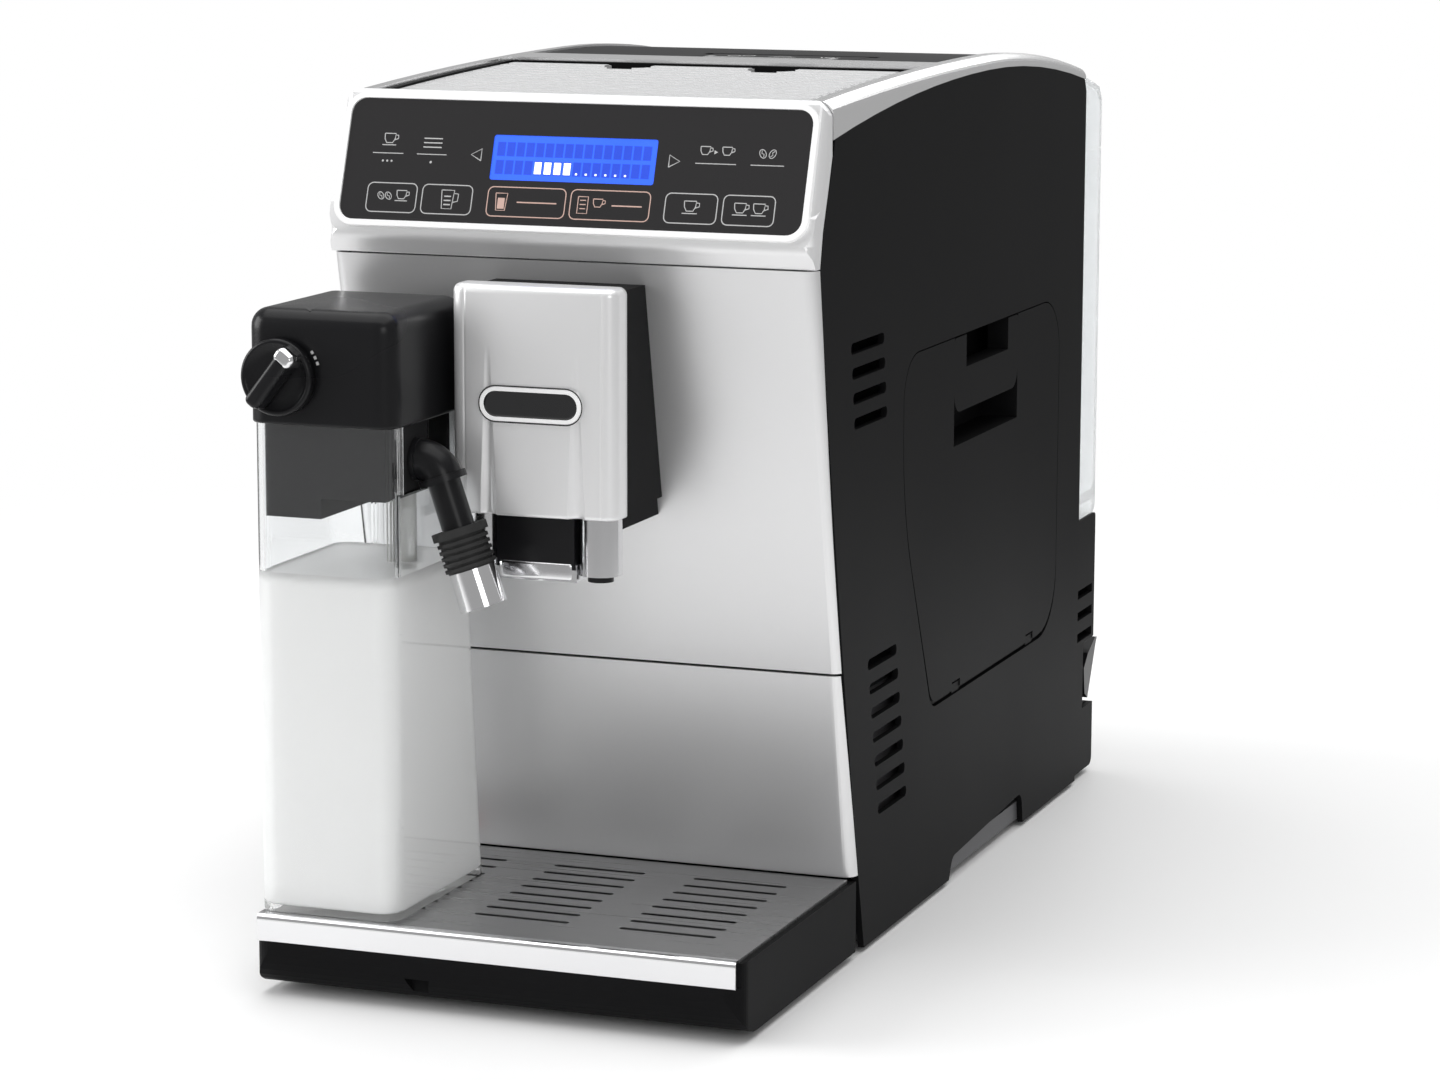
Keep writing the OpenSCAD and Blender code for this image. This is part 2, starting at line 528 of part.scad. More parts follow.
module powder_funnel() color([0.2, 0.2, 0.21]) difference() {
    union() {
        block(powder_x0 + 4, powder_x1 - 4, lid_front + 2, powder_back - 4, deck_z, hopper_top + 2);
        block(powder_x0 + 6.2, powder_x1 - 6.2, lid_front + 4.2, powder_back - 6.2, deck_z - 52, deck_z + 2);
        // flange with the two lugs of the powder lid's hinge
        block(powder_x0 - 3.5, powder_x1 + 3.5, powder_back - 5, powder_back, deck_z, deck_z + 3);
        for (x = [powder_x0 - 3.5, powder_x1 + 0.5])
            block(x, x + 3, powder_back - 5, powder_back, deck_z, lug_top);
    }
    block(powder_x0 + 8, powder_x1 - 8, lid_front + 6, powder_back - 8, deck_z - 53, hopper_top + 3);
    lid_pins(powder_x0 - 0.5, powder_x1 + 0.5, powder_back, 2.5);
}
burr_z = deck_z - 30;
module grinder_housing() color([0.16, 0.16, 0.17]) translate([grinder_x, grinder_y, 0]) difference() {
    translate([0, 0, burr_z - 24]) cylinder(d = grinder_d, h = 50);
    translate([0, 0, burr_z - 20]) cylinder(d = grinder_d - 8, h = 60);
    translate([0, 0, burr_z - 30]) cylinder(d = 8.1, h = 20);
}
module ring_burr() color([0.6, 0.6, 0.62]) translate([grinder_x, grinder_y, burr_z]) difference() {
    cylinder(d = grinder_d - 8, h = 16);
    translate([0, 0, -1]) cylinder(d1 = 53, d2 = 38, h = 18);
    for (a = [0:20:340]) rotate(a) translate([19, 0, 8]) rotate([0, 24, 0]) cube([3, 1.6, 30], center = true);
}
module cone_burr() color([0.65, 0.65, 0.67]) translate([grinder_x, grinder_y, burr_z - 14]) {
    difference() {
        translate([0, 0, 14]) cylinder(d1 = 48, d2 = 32, h = 16);
        for (a = [0:24:336]) rotate(a) translate([21, 0, 22]) rotate([0, -26, 8]) cube([3, 1.4, 30], center = true);
    }
    translate([0, 0, -14]) cylinder(d = 8, h = 28.5);
}
module grinder_motor() color([0.35, 0.35, 0.37]) translate([grinder_x, grinder_y, 0]) {
    translate([0, 0, burr_z - 100]) cylinder(d = 54, h = 58);
    translate([0, 0, burr_z - 42]) difference() {
        cylinder(d = grinder_d, h = 18);
        translate([0, 0, 2]) cylinder(d = 60, h = 20);
    }
    translate([22, -8, burr_z - 90]) cube([25, 16, 12]);
    block(-12, 12, 26, side_back - 4 - grinder_y, burr_z - 95, burr_z - 60);
}
brew_x0 = 24;
brew_x1 = half_w - 22;
brew_y0 = 24;
brew_y1 = 140;
brew_z0 = 62;
brew_z1 = deck_z - 58;
chamber_y = 84;
chamber_x = (brew_x0 + brew_x1) / 2;
module brew_unit() color([0.22, 0.22, 0.23]) {
    difference() {
        union() {
            block(brew_x0, brew_x0 + 4, brew_y0, brew_y1, foot_h + 2, brew_z1);
            block(brew_x0, brew_x1, brew_y0, brew_y1, brew_z0, brew_z0 + 5);
            block(brew_x0, brew_x1, brew_y0, brew_y1, brew_z1 - 6, brew_z1);
            block(brew_x0, brew_x1, brew_y0, brew_y0 + 5, brew_z0, brew_z1);
            block(brew_x0, brew_x1, brew_y1 - 5, brew_y1, brew_z0, brew_z1);
            translate([chamber_x, chamber_y, 118]) cylinder(d = 54, h = 52);
            block(brew_x0, chamber_x, chamber_y - 20, chamber_y + 20, 120, 168);
            block(brew_x0, brew_x1, bulk_y + 2.9, brew_y0 + 1, 100, 120);
        }
        translate([chamber_x, chamber_y, 99]) cylinder(d = 46.16, h = 73);
        translate([chamber_x, chamber_y, brew_z0 - 1]) cylinder(d = 14.16, h = 8);
    }
}
module brew_piston() color([0.7, 0.7, 0.72]) translate([chamber_x, chamber_y, 0]) {
    translate([0, 0, 104]) cylinder(d = 46, h = 24);
    translate([0, 0, 24]) cylinder(d = 14, h = 81);
}
module boiler() color([0.75, 0.72, 0.68]) {
    translate([-52, -52, deck_z - 128]) cylinder(d = 58, h = 82);
    translate([-52, -52, deck_z - 46]) cylinder(d = 20, h = 43);
    for (z = [60, 88, 116]) translate([-52, -52, deck_z - z]) cylinder(d = 64, h = 6);
}
module water_pump() color([0.6, 0.6, 0.25]) {
    rod_y(-58, 40, 110, 44, 40);
    rod_y(-58, 30, 41, 44, 16);
    rod_y(-58, 109, 122, 44, 16);
    block(-78, -38, 56, 94, foot_h + 2, 32);
}
module control_board() color([0.1, 0.35, 0.2]) {
    translate([0, glass_y, glass_z]) along_x(-inner_w / 2 + 15, inner_w / 2 - 15)
        polygon([[34.4, 0.6], [36.4, -0.2], [48.4, 31.6], [46.4, 32.4]]);
    both_sides() block(inner_w / 2 - 25, inner_w / 2 - 19, glass_y + 30.4, glass_y + 40.4, deck_z, glass_z + 5.6);
}
module hose(p, d) for (i = [0:len(p) - 2]) hull() for (q = [p[i], p[i + 1]]) translate(q) sphere(d = d, $fn = 16);
module hoses() color([0.85, 0.85, 0.85]) {
    hose([[-58, 28, 44], [-half_w + 25.5, 22, 60], [-half_w + 25.5, 15, 108], [-64, -40, 160]], 6);
    hose([[-58, 124, 44], [-40, side_back - 46, 60], [0, side_back - 10, rear_h - 10], [0, side_back + 5, rear_h - 10]], 6);
}

// ---- back ----
rear_x = half_w - 1.5;
rear_bottom = 3;
switch_x = rear_x - 15;
switch_z = 48;
inlet_x = -60;
screws_at = [[60, 110], [80, 20], [30, 20]];
module rear_base() color([0.07, 0.07, 0.075]) {
    rear_shell();
    switch_box();
}
module rear_shell() difference() {
    along_x(-rear_x, rear_x) polygon(rounded([[side_back, rear_bottom, 0], [back_y, rear_bottom, 4],
        [back_y, rear_h, 2], [side_back, rear_h, 0]]));
    // hollow, open to the body
    block(-rear_x + 2.5, rear_x - 2.5, side_back - 1, back_y - 2.5, rear_bottom + 2.5, rear_h - 2.5);
    // louvres on both sides
    for (z = [67, 77, 87]) block(-rear_x - 1, rear_x + 1, side_back + 6, back_y - 4, z - 2, z + 2);
    // corner recess of the main switch
    block(switch_x - 12.5, rear_x + 1, back_y - 17.5, back_y + 1, 32.5, 63.5);
    // inlet opening
    block(inlet_x - 15, inlet_x + 15, back_y - 5, back_y + 1, 36, 60);
    // valve hole under the tank
    translate([0, (side_back + back_y) / 2, rear_h - 6]) cylinder(d = 15, h = 10);
    both_sides() for (p = screws_at) rod_y(p[0], back_y - 6, back_y + 1, p[1], 6);
}
module switch_box() difference() {
    block(switch_x - 14, rear_x - 2.4, back_y - 19, back_y - 2.4, 31, 65);
    block(switch_x - 12, rear_x + 1, back_y - 17, back_y + 1, 33, 63);
    rod_x(switch_x - 15, switch_x - 11, back_y - 9, switch_z, 3.1);
}
module power_inlet() color([0.1, 0.1, 0.1]) difference() {
    union() {
        block(inlet_x - 14.8, inlet_x + 14.8, back_y - 28, back_y - 0.5, 36.2, 59.8);
        block(inlet_x - 17, inlet_x + 17, back_y - 8, back_y - 2.5, 34, 62);
    }
    block(inlet_x - 12, inlet_x + 12, back_y - 18, back_y + 1, 40, 56);
}
switch_tip = 10;
module main_switch() color([0.06, 0.06, 0.06]) {
    along_x(switch_x - 11, rear_x - 1) polygon([[back_y - 10, 38], [back_y - 5, 35], [back_y + switch_tip - 2, 58.5],
        [back_y + switch_tip, 61], [back_y + switch_tip - 3, 61.5], [back_y - 5, 56], [back_y - 12, 50]]);
    rod_x(switch_x - 13.6, switch_x - 10, back_y - 9, switch_z, 3);
}
module tank_valve() color([0.5, 0.5, 0.5]) translate([0, (side_back + back_y) / 2, rear_h - 14]) {
    cylinder(d = 12, h = 16);
    cylinder(d = 22, h = 11.5);
}
tank_x = half_w - 2;
tank_y0 = side_back + 1.5;
tank_z0 = rear_h + gap;
tank_lip = tank_rim + 28;
module tank_profile(inset) polygon(rounded([[tank_y0 + inset, tank_z0 + inset * 5, 3], [back_y - inset, tank_z0 + inset * 5, 5],
    [back_y - inset, tank_rim + inset, 0], [tank_y0 + inset, tank_rim + inset, 0]]));
module water_tank() color([0.85, 0.88, 0.9, 0.4]) difference() {
    along_x(-tank_x, tank_x) tank_profile(0);
    along_x(-tank_x + tank_wall, tank_x - tank_wall) tank_profile(tank_wall);
    translate([0, (side_back + back_y) / 2, tank_z0 - 1]) cylinder(d = 12.8, h = 20);
    // raised floor hollow below
    block(-tank_x + 3, tank_x - 3, tank_y0 + 3, back_y - 3, tank_z0 - 1, tank_z0 + 6);
}
module tank_lid() color([0.82, 0.85, 0.87, 0.4]) difference() {
    along_x(-tank_x, tank_x) polygon(rounded([[tank_y0, tank_rim + 0.4, 0], [back_y, tank_rim + 0.4, 0],
        [back_y, tank_lip - 6, 3], [back_y - 5, tank_lip, 3], [tank_y0 + 6, tank_lip + 5, 3], [tank_y0, tank_lip + 3, 2]]));
    along_x(-tank_x + 2, tank_x - 2) polygon([[tank_y0 + 2, tank_rim - 1], [back_y - 2, tank_rim - 1],
        [back_y - 2, tank_lip - 8], [back_y - 7, tank_lip - 2], [tank_y0 + 6, tank_lip + 2.5], [tank_y0 + 2, tank_lip]]);
}
module cover_screws() color("silver") both_sides() for (p = screws_at)
    translate([p[0], back_y, p[1]]) rotate([-90, 0, 0]) difference() {
        translate([0, 0, -5]) cylinder(d = 6, h = 5.4);
        translate([0, 0, -0.8]) cylinder(d = 3, h = 2);
    }

// ---- coffee spout ----
spout_z0 = spout_z1 - spout_h;
cover_back = spout_y + 13;
housing_front = cover_back + gap;
housing_x = spout_w / 2 - 3;
module spout_housing() color([0.06, 0.06, 0.06]) difference() {
    union() {
        along_x(-housing_x, housing_x) polygon([[housing_front, spout_z0 + 1], [housing_front, spout_z1 - 2],
            [face_y(spout_z1 - 2), spout_z1 - 2], [face_y(spout_z0 + 1), spout_z0 + 1]]);
        // foot under the cover's back edge
        along_x(-housing_x + 2, housing_x - 2) polygon([[housing_front + 6.5, spout_z0 - 6], [housing_front + 6.5, spout_z0 + 2],
            [face_y(spout_z0 + 2), spout_z0 + 2], [face_y(spout_z0 - 6), spout_z0 - 6]]);
    }
    // T slot for the slider, and the hollow behind it
    block(-6.5, 6.5, housing_front - 1, housing_front + 8, spout_z0 - 20, spout_z1 - 6);
    block(-12.5, 12.5, housing_front + 4, housing_front + 9, spout_z0 - 20, spout_z1 - 6);
}
cover_outline = rounded([[-spout_w / 2, cover_back, 0], [-spout_w / 2, spout_y + 2.5, 6], [0, spout_y, 300],
    [spout_w / 2, spout_y + 2.5, 6], [spout_w / 2, cover_back, 0]]);
module spout_cover() color([0.8, 0.81, 0.82]) difference() {
    translate([0, 0, spout_z0]) linear_extrude(spout_h) polygon(cover_outline);
    block(-spout_w / 2 + 2, spout_w / 2 - 2, spout_y + 5.5, cover_back + 1, spout_z0 - 1, spout_z1 - 3);
    // two shallow flutes in the lower half
    for (x = [-20, 14]) translate([x, spout_y - 10.5 + abs(x) / 20, spout_z0 - 1]) rotate([1.9, 0, 0]) cylinder(r = 12, h = spout_h);
    on_badge() translate([0, 0, -0.6]) linear_extrude(4) polygon(box_outline(40, 12.4, 6.1));
}
badge_z = spout_z0 + 41.8;
module on_badge() translate([0, spout_y + 0.3, badge_z]) rotate([90, 0, 0]) children();
module spout_badge() color([0.9, 0.9, 0.9]) on_badge() difference() {
    translate([0, 0, -0.6]) linear_extrude(1.8) polygon(box_outline(40, 12.4, 6.1));
    translate([0, 0, 0.8]) linear_extrude(2) polygon(box_outline(37.4, 9.8, 4.8));
}
nozzle_x = outlet_gap / 2;
nozzle_y = spout_y + 10.5;
nozzle_low = spout_z0 - 21.5;
module spout_body() color([0.05, 0.05, 0.05]) {
    block(-nozzle_x + nozzle_d / 2, nozzle_x - nozzle_d / 2, spout_y + 4, nozzle_y + 7.6, spout_z0 - 19.5, spout_z0);
    block(-7, 7, spout_y + 6, cover_back - 0.3, spout_z0 - 2, spout_z0 + 0.5);
    block(-spout_w / 2 + 2.2, spout_w / 2 - 2.2, spout_y + 5.6, cover_back - 0.3, spout_z0, spout_z0 + 14);
    // slider tongue in the housing's slot
    block(-6, 6, spout_y + 5.6, housing_front + 4.6, spout_z0 + 2, spout_z1 - 14);
    block(-12, 12, housing_front + 4.5, housing_front + 8.5, spout_z0 + 2, spout_z1 - 14);
    both_sides() translate([nozzle_x, nozzle_y, nozzle_low - 2.5]) difference() {
        cylinder(d = 9.8, h = 12);
        translate([0, 0, -1]) cylinder(d = 6, h = 20);
    }
}
module spout_nozzles() color([0.85, 0.85, 0.86]) {
    both_sides() translate([nozzle_x, nozzle_y, nozzle_low]) difference() {
        cylinder(d = nozzle_d, h = spout_z0 - nozzle_low);
        translate([0, 0, -1]) cylinder(d = 9.8, h = 11);
    }
    block(-nozzle_x + nozzle_d / 2 - 1, nozzle_x - nozzle_d / 2 + 1, spout_y + 4, nozzle_y + 7, nozzle_low - 2.6, nozzle_low + 2);
}
steam_x = -68;
steam_z = lid_top - 25;
lid_back_y = brow_y - front_proud - 6;
module steam_nozzle() color([0.15, 0.15, 0.15]) {
    rod_y(steam_x, face_y(steam_z) + 2, face_y(steam_z) + 14, steam_z, 26);
    difference() {
        rod_y(steam_x, lid_back_y - 4, face_y(steam_z) + 3, steam_z, 10);
        rod_y(steam_x, lid_back_y - 5, lid_back_y + 6, steam_z, 5);
    }
}

// ---- drip tray and grounds drawer ----
tray_back = foot_y - 11;
tub_x = half_w - side_t - 4;
tub_back = bulk_y - 2;
tub_z0 = foot_h + 2.6;
lip_z0 = tray_z - lip_h;
module drip_tray() color([0.06, 0.06, 0.06]) difference() {
    union() {
        intersection() {
            along_x(-half_w, half_w) polygon(rounded([[front_y, lip_z0, 0], [front_y, rear_bottom, tray_r],
                [tray_back, rear_bottom, 0], [tray_back, tray_z - 1.4, 0], [front_y + 4, tray_z - 1.4, 0], [front_y + 4, lip_z0, 0]]));
            linear_extrude(60) polygon(rounded([[-half_w, front_y, 8], [half_w, front_y, 8], [half_w, 0, 0], [-half_w, 0, 0]]));
        }
        block(-tub_x, tub_x, tray_back - 1, tub_back, tub_z0, tray_z - 3);
    }
    block(-half_w + 2.5, half_w - 2.5, front_y + 6.5, tray_back - 2, rear_bottom + 4, tray_z + 1);
    block(-tub_x + 2.2, tub_x - 2.2, tray_back - 3, tub_back - 2.2, tub_z0 + 2, tray_z + 1);
    // finger notch in the front
    translate([-30.7, front_y - 1, 6]) rotate([-90, 180, 0]) linear_extrude(7) polygon([[-2.5, 0], [2.5, 0], [5, 7], [-5, 7]]);
}
module tray_lip() color([0.92, 0.92, 0.93]) difference() {
    along_x(-half_w + 2.2, half_w - 2.2) polygon(rounded([[front_y - 0.0, lip_z0 + 0.1, 0.5], [front_y, tray_z, 2.5],
        [front_y + 4, tray_z, 0], [front_y + 4, lip_z0 + 0.1, 0]]));
}
grid_front = front_y + 4.1;
grid_back = edge_y(tray_z) - front_proud - 2;
slot_y0 = front_y + 106.8;
slot_len = 38;
float_at = [-70, front_y + 110];
module tray_grid() color([0.7, 0.7, 0.71]) difference() {
    union() {
        block(-half_w + 2.2, half_w - 2.2, grid_front, grid_back, tray_z - 1.4, tray_z);
        both_sides() block(half_w - 5.2, half_w - 3, grid_front + 4, grid_back - 4, tray_z - 8, tray_z - 1);
        for (x = [-29, 29]) block(x - 1, x + 1, grid_front + 4, grid_back - 8, rear_bottom + 4, tray_z - 1);
    }
    for (x = [-58.2, 0, 58.2], i = [0:slot_count - 1]) translate([x, slot_y0 - slot_pitch * i, tray_z - 5])
        linear_extrude(10) polygon(box_outline(slot_len, slot_w, slot_w / 2 - 0.1, 4));
    translate([float_at[0], float_at[1] + 6, tray_z - 5]) cylinder(d = 10, h = 10);
}
module level_float() color([0.8, 0.1, 0.08]) translate([float_at[0], float_at[1] + 6, 0]) {
    translate([0, 0, rear_bottom + 4.5]) cylinder(d = 22, h = 10);
    translate([0, 0, rear_bottom + 14]) cylinder(d = 9, h = tray_z - rear_bottom - 14);
}
bin_y0 = face_low[0] + 18;
module grounds_container() color([0.1, 0.1, 0.1]) difference() {
    block(-tub_x + 0.5, tub_x - 0.5, bin_y0, tub_back - 0.5, tray_z - 3, seam_z - 16);
    block(-tub_x + 3, tub_x - 3, bin_y0 + 2.4, tub_back - 3, tray_z, seam_z);
}
module grounds_panel() color([0.78, 0.79, 0.8]) {
    difference() {
        intersection() {
            along_x(-half_w, half_w) front_region([face_low, face_mid - [0, gap]], tray_z + gap, seam_z - gap, 0.5);
            lean_bar(face_low, face_mid, body_w, 30, front_r, 5);
        }
        along_x(-half_w + side_t + 2, half_w - side_t - 2) translate([front_t, 0])
            front_region([face_low - [0, 1], face_mid + [0, 1]], tray_z - 1, seam_z + 1);
    }
    // webs back to the grounds container
    for (x = [-60, 60]) along_x(x - 2, x + 2) polygon([[face_y(38) + 2, 38], [face_y(90) + 2, 90], [bin_y0, 90],
        [bin_y0, 38]]);
}

// ---- milk carafe ----
jug_x0 = -half_w + 0.5;
jug_x1 = -spout_w / 2 - jug_gap;
jug_z0 = tray_z + 0.4;
jug_back_top = lid_back_y + 0.5;
jug_cx = (jug_x0 + jug_x1) / 2;
module jug_form(inset, z0, z1) hull() for (k = [[z0, 0], [z1, 1]]) let (y1 = mix(jug_y1, jug_back_top, k[1]))
    translate([jug_cx, (jug_y0 + y1) / 2, k[0]]) linear_extrude(eps)
    polygon(box_outline(jug_x1 - jug_x0 - 2 * inset, y1 - jug_y0 - 2 * inset, 8 - inset));
elbow = [jug_x1 + 8.5, jug_y0 + 22, jug_top - 13.4];
module milk_jug() color([0.9, 0.92, 0.94, 0.35]) difference() {
    jug_form(0, jug_z0, jug_top);
    jug_form(jug_wall, jug_z0 + 2.6, jug_top + 1);
    // open notch for the milk elbow
    block(jug_x1 - 5, jug_x1 + 1, elbow[1] - 11, elbow[1] + 11, elbow[2] - 12, jug_top + 2);
}
lid_x0 = -half_w;
lid_x1 = jug_x1 + 2;
lid_y0 = jug_y0 - 2;
lid_z0 = jug_top + 0.2;
module carafe_lid() color([0.05, 0.05, 0.05]) difference() {
    intersection() {
        along_x(lid_x0, lid_x1) polygon(rounded([[lid_y0, lid_z0, 0], [lid_y0, lid_top, 8],
            [lid_back_y, lid_top + 0.5, 2], [lid_back_y, lid_z0, 0]]));
        translate([0, 100, 0]) rotate([90, 0, 0]) linear_extrude(400) polygon(rounded([[lid_x0, lid_z0, 0],
            [lid_x1, lid_z0, 0], [lid_x1, lid_top + 0.5, 5], [lid_x0, lid_top + 0.5, 6]]));
        translate([0, 0, 100]) linear_extrude(300) polygon(rounded([[lid_x0, lid_y0, 6], [lid_x1, lid_y0, 6],
            [lid_x1, lid_back_y, 2], [lid_x0, lid_back_y, 2]]));
    }
    block(lid_x0 + 2.5, lid_x1 - 2.5, lid_y0 + 9, lid_back_y - 2.5, lid_z0 - 1, lid_top - 3);
    // docking notch, open below
    block(steam_x - 7, steam_x + 7, lid_back_y - 6, lid_back_y + 1, lid_z0 - 1, steam_z + 1);
    rod_y(steam_x, lid_back_y - 6, lid_back_y + 1, steam_z, 14);
    // seat of the knob's stub
    rod_y(knob_x, lid_y0 - 1, lid_y0 + 10, knob_z, 8.1);
}
insert_y1 = lid_back_y - 8;
module lid_insert() color([0.1, 0.1, 0.1]) {
    block(jug_x0 + jug_wall + 2.3, jug_x0 + 27, jug_y0 + jug_wall + 2.3, insert_y1, jug_top - 35, lid_z0);
    difference() {
        block(jug_x0 + 26, jug_x1 - jug_wall - 2.3, jug_y0 + jug_wall + 2.3, insert_y1, jug_top - 27.4, lid_z0);
        translate([jug_x1 - 16, jug_y0 + 46, jug_top - 28.4]) cylinder(d = 7, h = 2);
    }
    // cheek that carries the milk elbow
    difference() {
        block(jug_x1 - jug_wall - 2.4, jug_x1, elbow[1] - 10.4, elbow[1] + 10.4, elbow[2] - 11, lid_z0);
        rod_x(jug_x1 - 8, jug_x1 + 1, elbow[1], elbow[2], 9.12);
    }
}
module intake_tube() color([0.6, 0.6, 0.6]) translate([jug_x1 - 16, jug_y0 + 46, jug_z0 + 8]) difference() {
    cylinder(d = 7, h = jug_top - 34.4 - jug_z0);
    translate([0, 0, -1]) cylinder(d = 4.4, h = 60);
}
knob_x = lid_x0 + knob_d / 2 + 0.3;
knob_z = lid_top - 24.5;
knob_front = lid_y0 - 12;
module froth_knob() color([0.04, 0.04, 0.04]) translate([knob_x, 0, knob_z]) rotate([90, 0, 0]) {
    translate([0, 0, -lid_y0 + 0.4]) cylinder(d = knob_d, h = 4.6);
    rotate(-38) intersection() {
        translate([0, 0, -lid_y0 + 5]) cylinder(d = knob_d - 1.4, h = -knob_front + lid_y0 - 5);
        translate([-4.5, -20, -lid_y0 + 4]) cube([9, 40, -knob_front + lid_y0 - 4]);
    }
    translate([0, 0, -lid_y0 - 8]) cylinder(d = 8, h = 9);
}
module on_milk() translate(elbow) rotate([0, 180 - milk_tilt, 0]) children();
elbow_bend = 9;
elbow_d = 15;
bend_leg = elbow_bend * tan((90 - milk_tilt) / 2);
module milk_elbow() color([0.04, 0.04, 0.04]) {
    rod_x(jug_x1 - 4, jug_x1 + 1, elbow[1], elbow[2], 9);
    rod_x(jug_x1 + 0.4, elbow[0] - bend_leg + 0.2, elbow[1], elbow[2], elbow_d + 1);
    translate([elbow[0] - bend_leg, elbow[1], elbow[2] - elbow_bend]) rotate([90, 0, 0]) rotate([0, 0, milk_tilt])
        rotate_extrude(angle = 90 - milk_tilt) translate([elbow_bend, 0]) circle(d = elbow_d);
    on_milk() {
        translate([0, 0, bend_leg - 0.5]) cylinder(d = elbow_d + 3, h = 2.5);
        difference() {
            translate([0, 0, bend_leg]) cylinder(d = 12.4, h = 40 - bend_leg);
            translate([0, 0, 12]) cylinder(d = 7, h = 30);
        }
    }
}
module spout_grip() color([0.08, 0.08, 0.08]) on_milk() translate([0, 0, 26]) difference() {
    union() {
        cylinder(d = 21, h = 3);
        cylinder(d = 17.6, h = 16);
        for (z = [4.4:2.4:15]) translate([0, 0, z]) cylinder(d = 19.4, h = 1.3);
    }
    translate([0, 0, -1]) cylinder(d = 13, h = 30);
}
module milk_tip() color([0.9, 0.9, 0.9]) on_milk() translate([0, 0, 42]) difference() {
    cylinder(d1 = 17.2, d2 = 18, h = milk_len - 42);
    translate([0, 0, -1]) cylinder(d = 13, h = 40);
}

base_pan();
feet();
chassis();
left_side_panel();
right_side_panel();
front_panel();
fascia();
bezel_ring();
control_glass();
lcd_display();
top_trim();
shelf_well();
cup_shelf();
bean_hopper();
powder_funnel();
grinder_housing();
ring_burr();
cone_burr();
grinder_motor();
brew_unit();
brew_piston();
boiler();
water_pump();
control_board();
hoses();
rear_base();
power_inlet();
main_switch();
tank_valve();
steam_nozzle();
spout_housing();
cover_screws();
drip_tray();
tray_lip();
tray_grid();
grounds_container();
grounds_panel();
level_float();
milk_jug();
carafe_lid();
lid_insert();
intake_tube();
froth_knob();
milk_elbow();
spout_grip();
milk_tip();
spout_cover();
spout_body();
spout_nozzles();
spout_badge();
service_door();
door_handle();
door_pins();
water_tank();
tank_lid();
bean_lid();
powder_lid();
powder_handle();
grind_dial();
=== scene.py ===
"""Looks of a bean-to-cup coffee machine with a docked milk carafe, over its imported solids.

Places are in millimetres in the frame of the solids: x to the right, y to the back, z up. The studio is
in metres."""
import math

import bpy
import numpy as np
from mathutils import Matrix, Vector


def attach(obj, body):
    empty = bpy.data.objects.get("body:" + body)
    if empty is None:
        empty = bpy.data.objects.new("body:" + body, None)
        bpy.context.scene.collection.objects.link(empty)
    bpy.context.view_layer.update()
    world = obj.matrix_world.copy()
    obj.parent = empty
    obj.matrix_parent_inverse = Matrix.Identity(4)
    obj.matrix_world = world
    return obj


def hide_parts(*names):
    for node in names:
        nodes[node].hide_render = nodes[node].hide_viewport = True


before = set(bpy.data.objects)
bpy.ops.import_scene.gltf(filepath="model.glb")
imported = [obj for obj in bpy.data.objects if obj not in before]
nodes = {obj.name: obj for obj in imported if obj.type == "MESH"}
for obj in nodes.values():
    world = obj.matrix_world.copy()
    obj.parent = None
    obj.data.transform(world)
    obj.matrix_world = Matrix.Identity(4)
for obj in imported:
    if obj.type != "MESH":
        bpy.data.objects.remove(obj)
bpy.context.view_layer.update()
MM = 0.001

# Places that the solids give, in millimetres
GLASS_FOOT = np.array([0.0, -166.4, 286.4])
GLASS_TILT = math.radians(19.4)
JUG_X, JUG_FRONT = (-97.0, -40.0), -236.0
JUG_BACK_LOW, JUG_BACK_TOP = -150.0, -167.9
JUG_FOOT, JUG_TOP = 33.0, 217.4
JUG_WALL, JUG_FLOOR = 2.2, 2.6
COVER_LOW, COVER_TOP = 182.2, 267.6
COVER_FRONT, COVER_BACK, COVER_HALF = -199.9, -187.0, 33.0
FLUTE_X = 17.5
BADGE_SEAT, BADGE_Z = -200.5, 224.0
OUTLET_Y = -189.9
LID_MIDDLE, LID_SIZE = (-67.75, -203.2, 0.0), (59.4, 69.5)
LID_LOW, LID_TOP = 217.7, 260.0
KNOB_X, KNOB_Z, KNOB_SEAT = -82.7, 235.5, -238.4
POWDER_LID_TOP, ARCH_MIDDLE, ARCH_FALL = 339.06, 60.0, 7200.0


# ---------------------------------------------------------------- meshes
def mesh_piece(name, verts, faces, body, material, smooth=True):
    """A piece whose vertices are given in millimetres in the shared frame; it rides on a body."""
    mesh = bpy.data.meshes.new(name)
    mesh.from_pydata((np.asarray(verts, float) * MM).tolist(), [], [list(f) for f in faces])
    mesh.validate()
    piece = bpy.data.objects.new(name, mesh)
    bpy.context.scene.collection.objects.link(piece)
    mesh.polygons.foreach_set("use_smooth", np.full(len(mesh.polygons), smooth))
    mesh.materials.append(material)
    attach(piece, body)
    return piece


def grid_faces(rows, cols, wrap=False):
    """Quads of a grid of rows x cols points, row by row; wrap joins the last column to the first."""
    r = np.arange(rows - 1)[:, None]
    c = np.arange(cols if wrap else cols - 1)[None, :]
    n = (c + 1) % cols
    quads = np.stack([r * cols + c, r * cols + n, (r + 1) * cols + n, (r + 1) * cols + c], -1)
    return quads.reshape(-1, 4).tolist()


def rounded_ring(w, h, r, n=10):
    """Points of a rounded rectangle about the origin: four quarter circles of radius r at the corners."""
    a = np.linspace(0, math.pi / 2, n)
    ring = []
    for k, (sx, sy) in enumerate([(1, 1), (-1, 1), (-1, -1), (1, -1)]):
        t = a + k * math.pi / 2
        ring.append(np.stack([sx * (w / 2 - r) + r * np.cos(t), sy * (h / 2 - r) + r * np.sin(t)], 1))
    return np.concatenate(ring)


